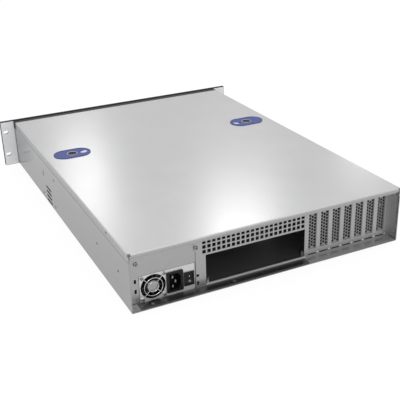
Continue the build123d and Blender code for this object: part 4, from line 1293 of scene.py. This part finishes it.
@dataclass
class SlotCovers:
    """The perforated slot covers, modelled once and copied."""

    palette: Palette
    sheet: float = 0.9 * MM
    hole: float = 2.05 * MM
    hole_sides: int = 14
    pitch: float = 5.0 * MM
    column: float = 4.3 * MM
    first: float = 18.0 * MM
    rows: int = 11
    bend: float = 0.8 * MM

    def build(self) -> None:
        """Builds the first cover and copies it along the panel."""
        boxes = [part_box(name) for name in SLOT_COVERS]
        start = boxes[0][0].x
        pieces = [self._cover(*boxes[0])]
        for low, _ in boxes[1:]:
            pieces.append(Bench.twin(pieces[0], Matrix.Translation((low.x - start, 0.0, 0.0))))
        look = self.palette.of(self.palette.slots)
        for piece, name in zip(pieces, SLOT_COVERS):
            Bench.finish(piece, "pierced_" + name, look, "case", "cover_plate_steel", [name])

    def _cover(self, low: Vector, high: Vector) -> bpy.types.Object:
        """One cover: a plate whose top edge is pulled back into the tab, then pierced.

        Args:
            low: The CAD node's lowest corner.
            high: Its highest corner.

        Returns:
            The cover.
        """
        back, tab = low.y + self.sheet, high.z - self.sheet
        piece = Bench.box(low, (high.x, back, tab))
        Bench.faces(piece, facing(Axis.Z))
        Bench.push((0.0, 0.0, self.sheet))
        Bench.faces(piece, lambda middle, normal: normal.y > FACING and middle.z > tab)
        Bench.push((0.0, high.y - back, 0.0))
        front, top = level(Axis.Y, low.y), level(Axis.Z, high.z)
        Bench.edges(piece, lambda middle, way: front(middle, way) and top(middle, way))
        Bench.soften(self.bend, 3)
        Bench.carve(piece, self._punch((low.x + high.x) / 2, low.y - MM, back + MM))
        return piece

    def _punch(self, x: float, front: float, back: float) -> bpy.types.Object:
        """Three columns of pins, the middle one half a step lower and one pin shorter.

        Args:
            x: The middle column's place.
            front: Where the pins start.
            back: Where they end.

        Returns:
            The pins as one piece.
        """
        pin = Bench.rod(self.hole, front, back, (x, 0.0, self.first), Axis.Y, self.hole_sides)
        pins = []
        for row in range(self.rows):
            for side in (-1, 0, 1):
                if side or row:
                    rise = row * self.pitch - (0.0 if side else self.pitch / 2)
                    move = Matrix.Translation((side * self.column, 0.0, rise))
                    pins.append(Bench.twin(pin, move))
        Bench.drop(pin)
        return Bench.gather(pins)


@dataclass
class ScrewSet:
    """Pan-head screws with a cross recess, modelled once and copied to their places."""

    palette: Palette
    arm_share: float = 0.62
    slit_share: float = 0.16
    recess_floor: float = 0.35
    round_share: float = 0.55
    guard_radius: float = 2.2 * MM
    adapter_radius: float = 3.1 * MM
    adapter_height: float = 1.9 * MM

    def build(self) -> None:
        """Builds every group of screws."""
        self._slot_screws()
        self._ledge_screws()
        self._guard_screws()
        self._adapter_screws()

    def _head(self, radius: float, height: float, axis: Axis) -> bpy.types.Object:
        """One screw head that stands on the origin.

        Args:
            radius: The head's radius.
            height: The head's height.
            axis: Where it points.

        Returns:
            The head.
        """
        piece = Bench.rod(radius, 0.0, height, (0.0, 0.0, 0.0), Axis.Z, sides=32)
        Bench.edges(piece, across(Axis.Z, NEAR_TOP * height))
        Bench.soften(height * self.round_share, 4)
        arm, slit = radius * self.arm_share, radius * self.slit_share
        floor, top = height * self.recess_floor, height * 1.5
        for long, wide in ((arm, slit), (slit, arm)):
            Bench.carve(piece, Bench.box((-long, -wide, floor), (long, wide, top)))
        if axis is Axis.Y:
            piece.data.transform(Matrix.Rotation(-math.pi / 2, 4, "X"))
        return piece

    def _group(
        self, node: str, axis: Axis, radius: float, height: float, places: Sequence[Point]
    ) -> None:
        """Replaces one node of screws.

        Args:
            node: The CAD node.
            axis: Where the heads point.
            radius: The heads' radius.
            height: The heads' height.
            places: The middles of the faces that the heads stand on.
        """
        master = self._head(radius, height, axis)
        copies = [Bench.twin(master, Matrix.Translation(place)) for place in places]
        Bench.drop(master)
        piece, look = Bench.gather(copies), self.palette.of(self.palette.screw)
        Bench.finish(piece, "cross_" + node, look, "case", "screws", [node])

    def _slot_screws(self) -> None:
        """One screw on the tab of each slot cover."""
        low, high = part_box("slot_cover_screws")
        y, radius = (low.y + high.y) / 2, (high.y - low.y) / 2
        boxes = [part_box(name) for name in SLOT_COVERS]
        places = [((first.x + last.x) / 2, y, low.z) for first, last in boxes]
        self._group("slot_cover_screws", Axis.Z, radius, high.z - low.z, places)

    def _ledge_screws(self) -> None:
        """Four screws along the rear ledge."""
        low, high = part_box("ledge_screws")
        y, radius = (low.y + high.y) / 2, (high.y - low.y) / 2
        step = (high.x - low.x - 2 * radius) / 3
        places = [(low.x + radius + number * step, y, low.z) for number in range(4)]
        self._group("ledge_screws", Axis.Z, radius, high.z - low.z, places)

    def _guard_screws(self) -> None:
        """One screw in each corner of the fan guard."""
        low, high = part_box("guard_screws")
        radius = self.guard_radius
        columns, rows = (low.x + radius, high.x - radius), (low.z + radius, high.z - radius)
        places = [(x, low.y, z) for x in columns for z in rows]
        self._group("guard_screws", Axis.Y, radius, high.y - low.y, places)

    def _adapter_screws(self) -> None:
        """Two screws in opposite corners of the adapter plate."""
        low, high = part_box("adapter_screws")
        radius, height = self.adapter_radius, self.adapter_height
        places = [
            (high.x - radius, low.y, low.z + radius),
            (low.x + radius, high.y - height, high.z - radius),
        ]
        self._group("adapter_screws", Axis.Y, radius, height, places)


@dataclass
class SupplyFan:
    """The power supply's fan: wire guard, foil disc on the motor plate, and rotor."""

    palette: Palette
    wire: float = 0.55 * MM
    rings: tuple[float, float] = (13.25 * MM, 7.25 * MM)
    ring_depth: float = 1.5 * MM
    arm_edge: float = 0.15 * MM
    eye: float = 2.3 * MM
    eye_offset: float = 16.0 * MM
    eye_gap: float = 2.0 * MM
    disc: float = 8.2 * MM
    disc_seat: float = 0.1 * MM
    disc_height: float = 0.25 * MM
    disc_rim: float = 1.2 * MM
    disc_dish: float = 0.1 * MM
    hub: float = 10.0 * MM
    hub_edge: float = 0.6 * MM
    frame_wall: float = 1.0 * MM
    rotor_back: float = 1.0 * MM
    blades: int = 7
    blade_sheet: float = 0.9 * MM
    blade_gap: float = 1.8 * MM
    blade_root: float = 0.6 * MM
    blade_width: float = 0.75
    blade_flare: float = 0.35
    blade_turn: float = 42.0
    blade_twist: float = 12.0
    blade_bow: float = 0.12

    def __post_init__(self) -> None:
        """Takes the fan's middle from the CAD nodes."""
        low, self.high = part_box("psu_fan_frame")
        self.middle = (low + self.high) / 2
        self.centre = (self.middle.x, 0.0, self.middle.z)
        self.bore = (self.high.x - low.x) / 2 - self.frame_wall
        self.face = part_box("psu_fan_guard")[0].y

    def build(self) -> None:
        """Builds guard, foil disc and rotor."""
        self._guard()
        self._disc()
        self._rotor()

    def _guard(self) -> None:
        """Two hoops on four arms that end in eyes."""
        centre = (self.middle.x, self.face + self.ring_depth, self.middle.z)
        parts = [Bench.hoop(ring, self.wire, centre, Axis.Y) for ring in self.rings]
        reach, y = self.eye_offset * math.sqrt(2), self.face + self.wire
        end = reach - self.eye_gap
        arm = Bench.rod(self.wire, self.rings[1], end, (0.0, y, 0.0), Axis.X, sides=12)
        Bench.edges(arm, across(Axis.X))
        Bench.soften(self.arm_edge, 1)
        eye = Bench.hoop(self.eye, self.wire, (reach, y, 0.0), Axis.Y, steps=24)
        arm = Bench.gather([arm, eye])
        for quarter in range(4):
            turn = Matrix.Rotation(math.radians(45 + 90 * quarter), 4, "Y")
            parts.append(Bench.twin(arm, Matrix.Translation(self.centre) @ turn))
        Bench.drop(arm)
        piece, look = Bench.gather(parts), self.palette.of(self.palette.wire)
        Bench.finish(piece, "fan_wire_guard", look, "case", "guard_wire", ["psu_fan_guard"])

    def _disc(self) -> None:
        """The foil disc on the motor plate."""
        low, high = self.high.y - self.disc_seat, self.high.y + self.disc_height
        piece = Bench.rod(self.disc, low, high, self.centre, Axis.Y, sides=40)
        Bench.faces(piece, facing(Axis.Y))
        Bench.inset(self.disc_rim, -self.disc_dish)
        look = self.palette.of(self.palette.hub)
        Bench.finish(piece, "fan_motor_disc", look, "case", "guard_wire")

    def _blade(self, root: float, tip: float, depth: float) -> bpy.types.Object:
        """One blade: a grid that is tilted, twisted towards its tip and thickened.

        Args:
            root: Where it starts, from the middle.
            tip: Where it ends.
            depth: Its width before it is tilted.

        Returns:
            The blade, along X.
        """
        Bench.clear()
        bpy.ops.mesh.primitive_grid_add(x_subdivisions=8, y_subdivisions=6, size=1.0)
        piece = Bench.settle()
        for corner in piece.data.vertices:
            share = corner.co.x + 0.5
            wide = depth * (self.blade_width + self.blade_flare * share)
            tilt = math.radians(self.blade_turn + self.blade_twist * (share - 0.5))
            along = corner.co.y * wide
            bow = self.blade_bow * wide * (1.0 - (2.0 * corner.co.y) ** 2)
            corner.co = Vector((
                root + (tip - root) * share,
                along * math.cos(tilt) - bow * math.sin(tilt),
                along * math.sin(tilt) + bow * math.cos(tilt),
            ))
        Bench.apply(piece, "SOLIDIFY", thickness=self.blade_sheet, offset=0.0)
        return piece

    def _rotor(self) -> None:
        """The hub with its blades."""
        low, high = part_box("psu_fan_rotor")
        back = high.y - self.rotor_back
        piece = Bench.rod(self.hub, low.y, back - MM, self.centre, Axis.Y, sides=40)
        Bench.edges(piece, across(Axis.Y))
        Bench.soften(self.hub_edge)
        root, tip = self.hub - self.blade_root, self.bore - self.blade_gap
        blade = self._blade(root, tip, back - low.y - 2 * MM)
        place = Matrix.Translation((self.middle.x, (low.y + back) / 2, self.middle.z))
        parts = [piece]
        for number in range(self.blades):
            turn = Matrix.Rotation(math.tau * number / self.blades, 4, "Y")
            parts.append(Bench.twin(blade, place @ turn))
        Bench.drop(blade)
        piece, look = Bench.gather(parts), self.palette.of(self.palette.fan)
        name = "fan_rotor_bladed"
        Bench.finish(piece, name, look, "supply_fan", "fan_plastic", ["psu_fan_rotor"])


@dataclass
class MainsSwitch:
    """The pale marks on the rocker: a bar and a hoop."""

    palette: Palette
    rest: float = 7.0
    mark: float = 1.3 * MM
    rise: float = 3.6 * MM
    pivot_depth: float = 2.3 * MM
    face: float = 2.15 * MM
    bar_half: float = 0.25 * MM
    bar_seat: float = 0.2 * MM
    bar_height: float = 0.12 * MM
    bar_edge: float = 0.05 * MM
    hoop_wire: float = 0.22 * MM

    def build(self) -> None:
        """Lays both marks on the rocker's two faces."""
        low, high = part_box("switch_rocker")
        pivot = ((low.x + high.x) / 2, high.y - self.pivot_depth, (low.z + high.z) / 2)
        bar = Bench.box(
            (-self.bar_half, self.face - self.bar_seat, self.rise - self.mark),
            (self.bar_half, self.face + self.bar_height, self.rise + self.mark),
        )
        Bench.edges(bar, lambda middle, way: True)
        Bench.soften(self.bar_edge, 1)
        centre = (0.0, self.face, -self.rise)
        hoop = Bench.hoop(self.mark, self.hoop_wire, centre, Axis.Y, steps=24)
        piece = Bench.gather([bar, hoop])
        turn = Matrix.Rotation(math.radians(self.rest), 4, "X")
        piece.data.transform(Matrix.Translation(pivot) @ turn)
        look = self.palette.of(self.palette.print)
        Bench.finish(piece, "rocker_marks", look, "mains_switch", "lamps")


def main() -> None:
    """Builds camera, studio, finishes and every piece, in that order."""
    logging.basicConfig(level=logging.INFO, format="%(message)s")
    PhotoCamera().build()
    Studio().build()
    palette = Palette()
    palette.dress_all()
    for side in Side:
        CoverLatch(palette, side).build()
    SlotCovers(palette).build()
    ScrewSet(palette).build()
    SupplyFan(palette).build()
    MainsSwitch(palette).build()
    Bench.clear()


if __name__ == "__main__":
    main()
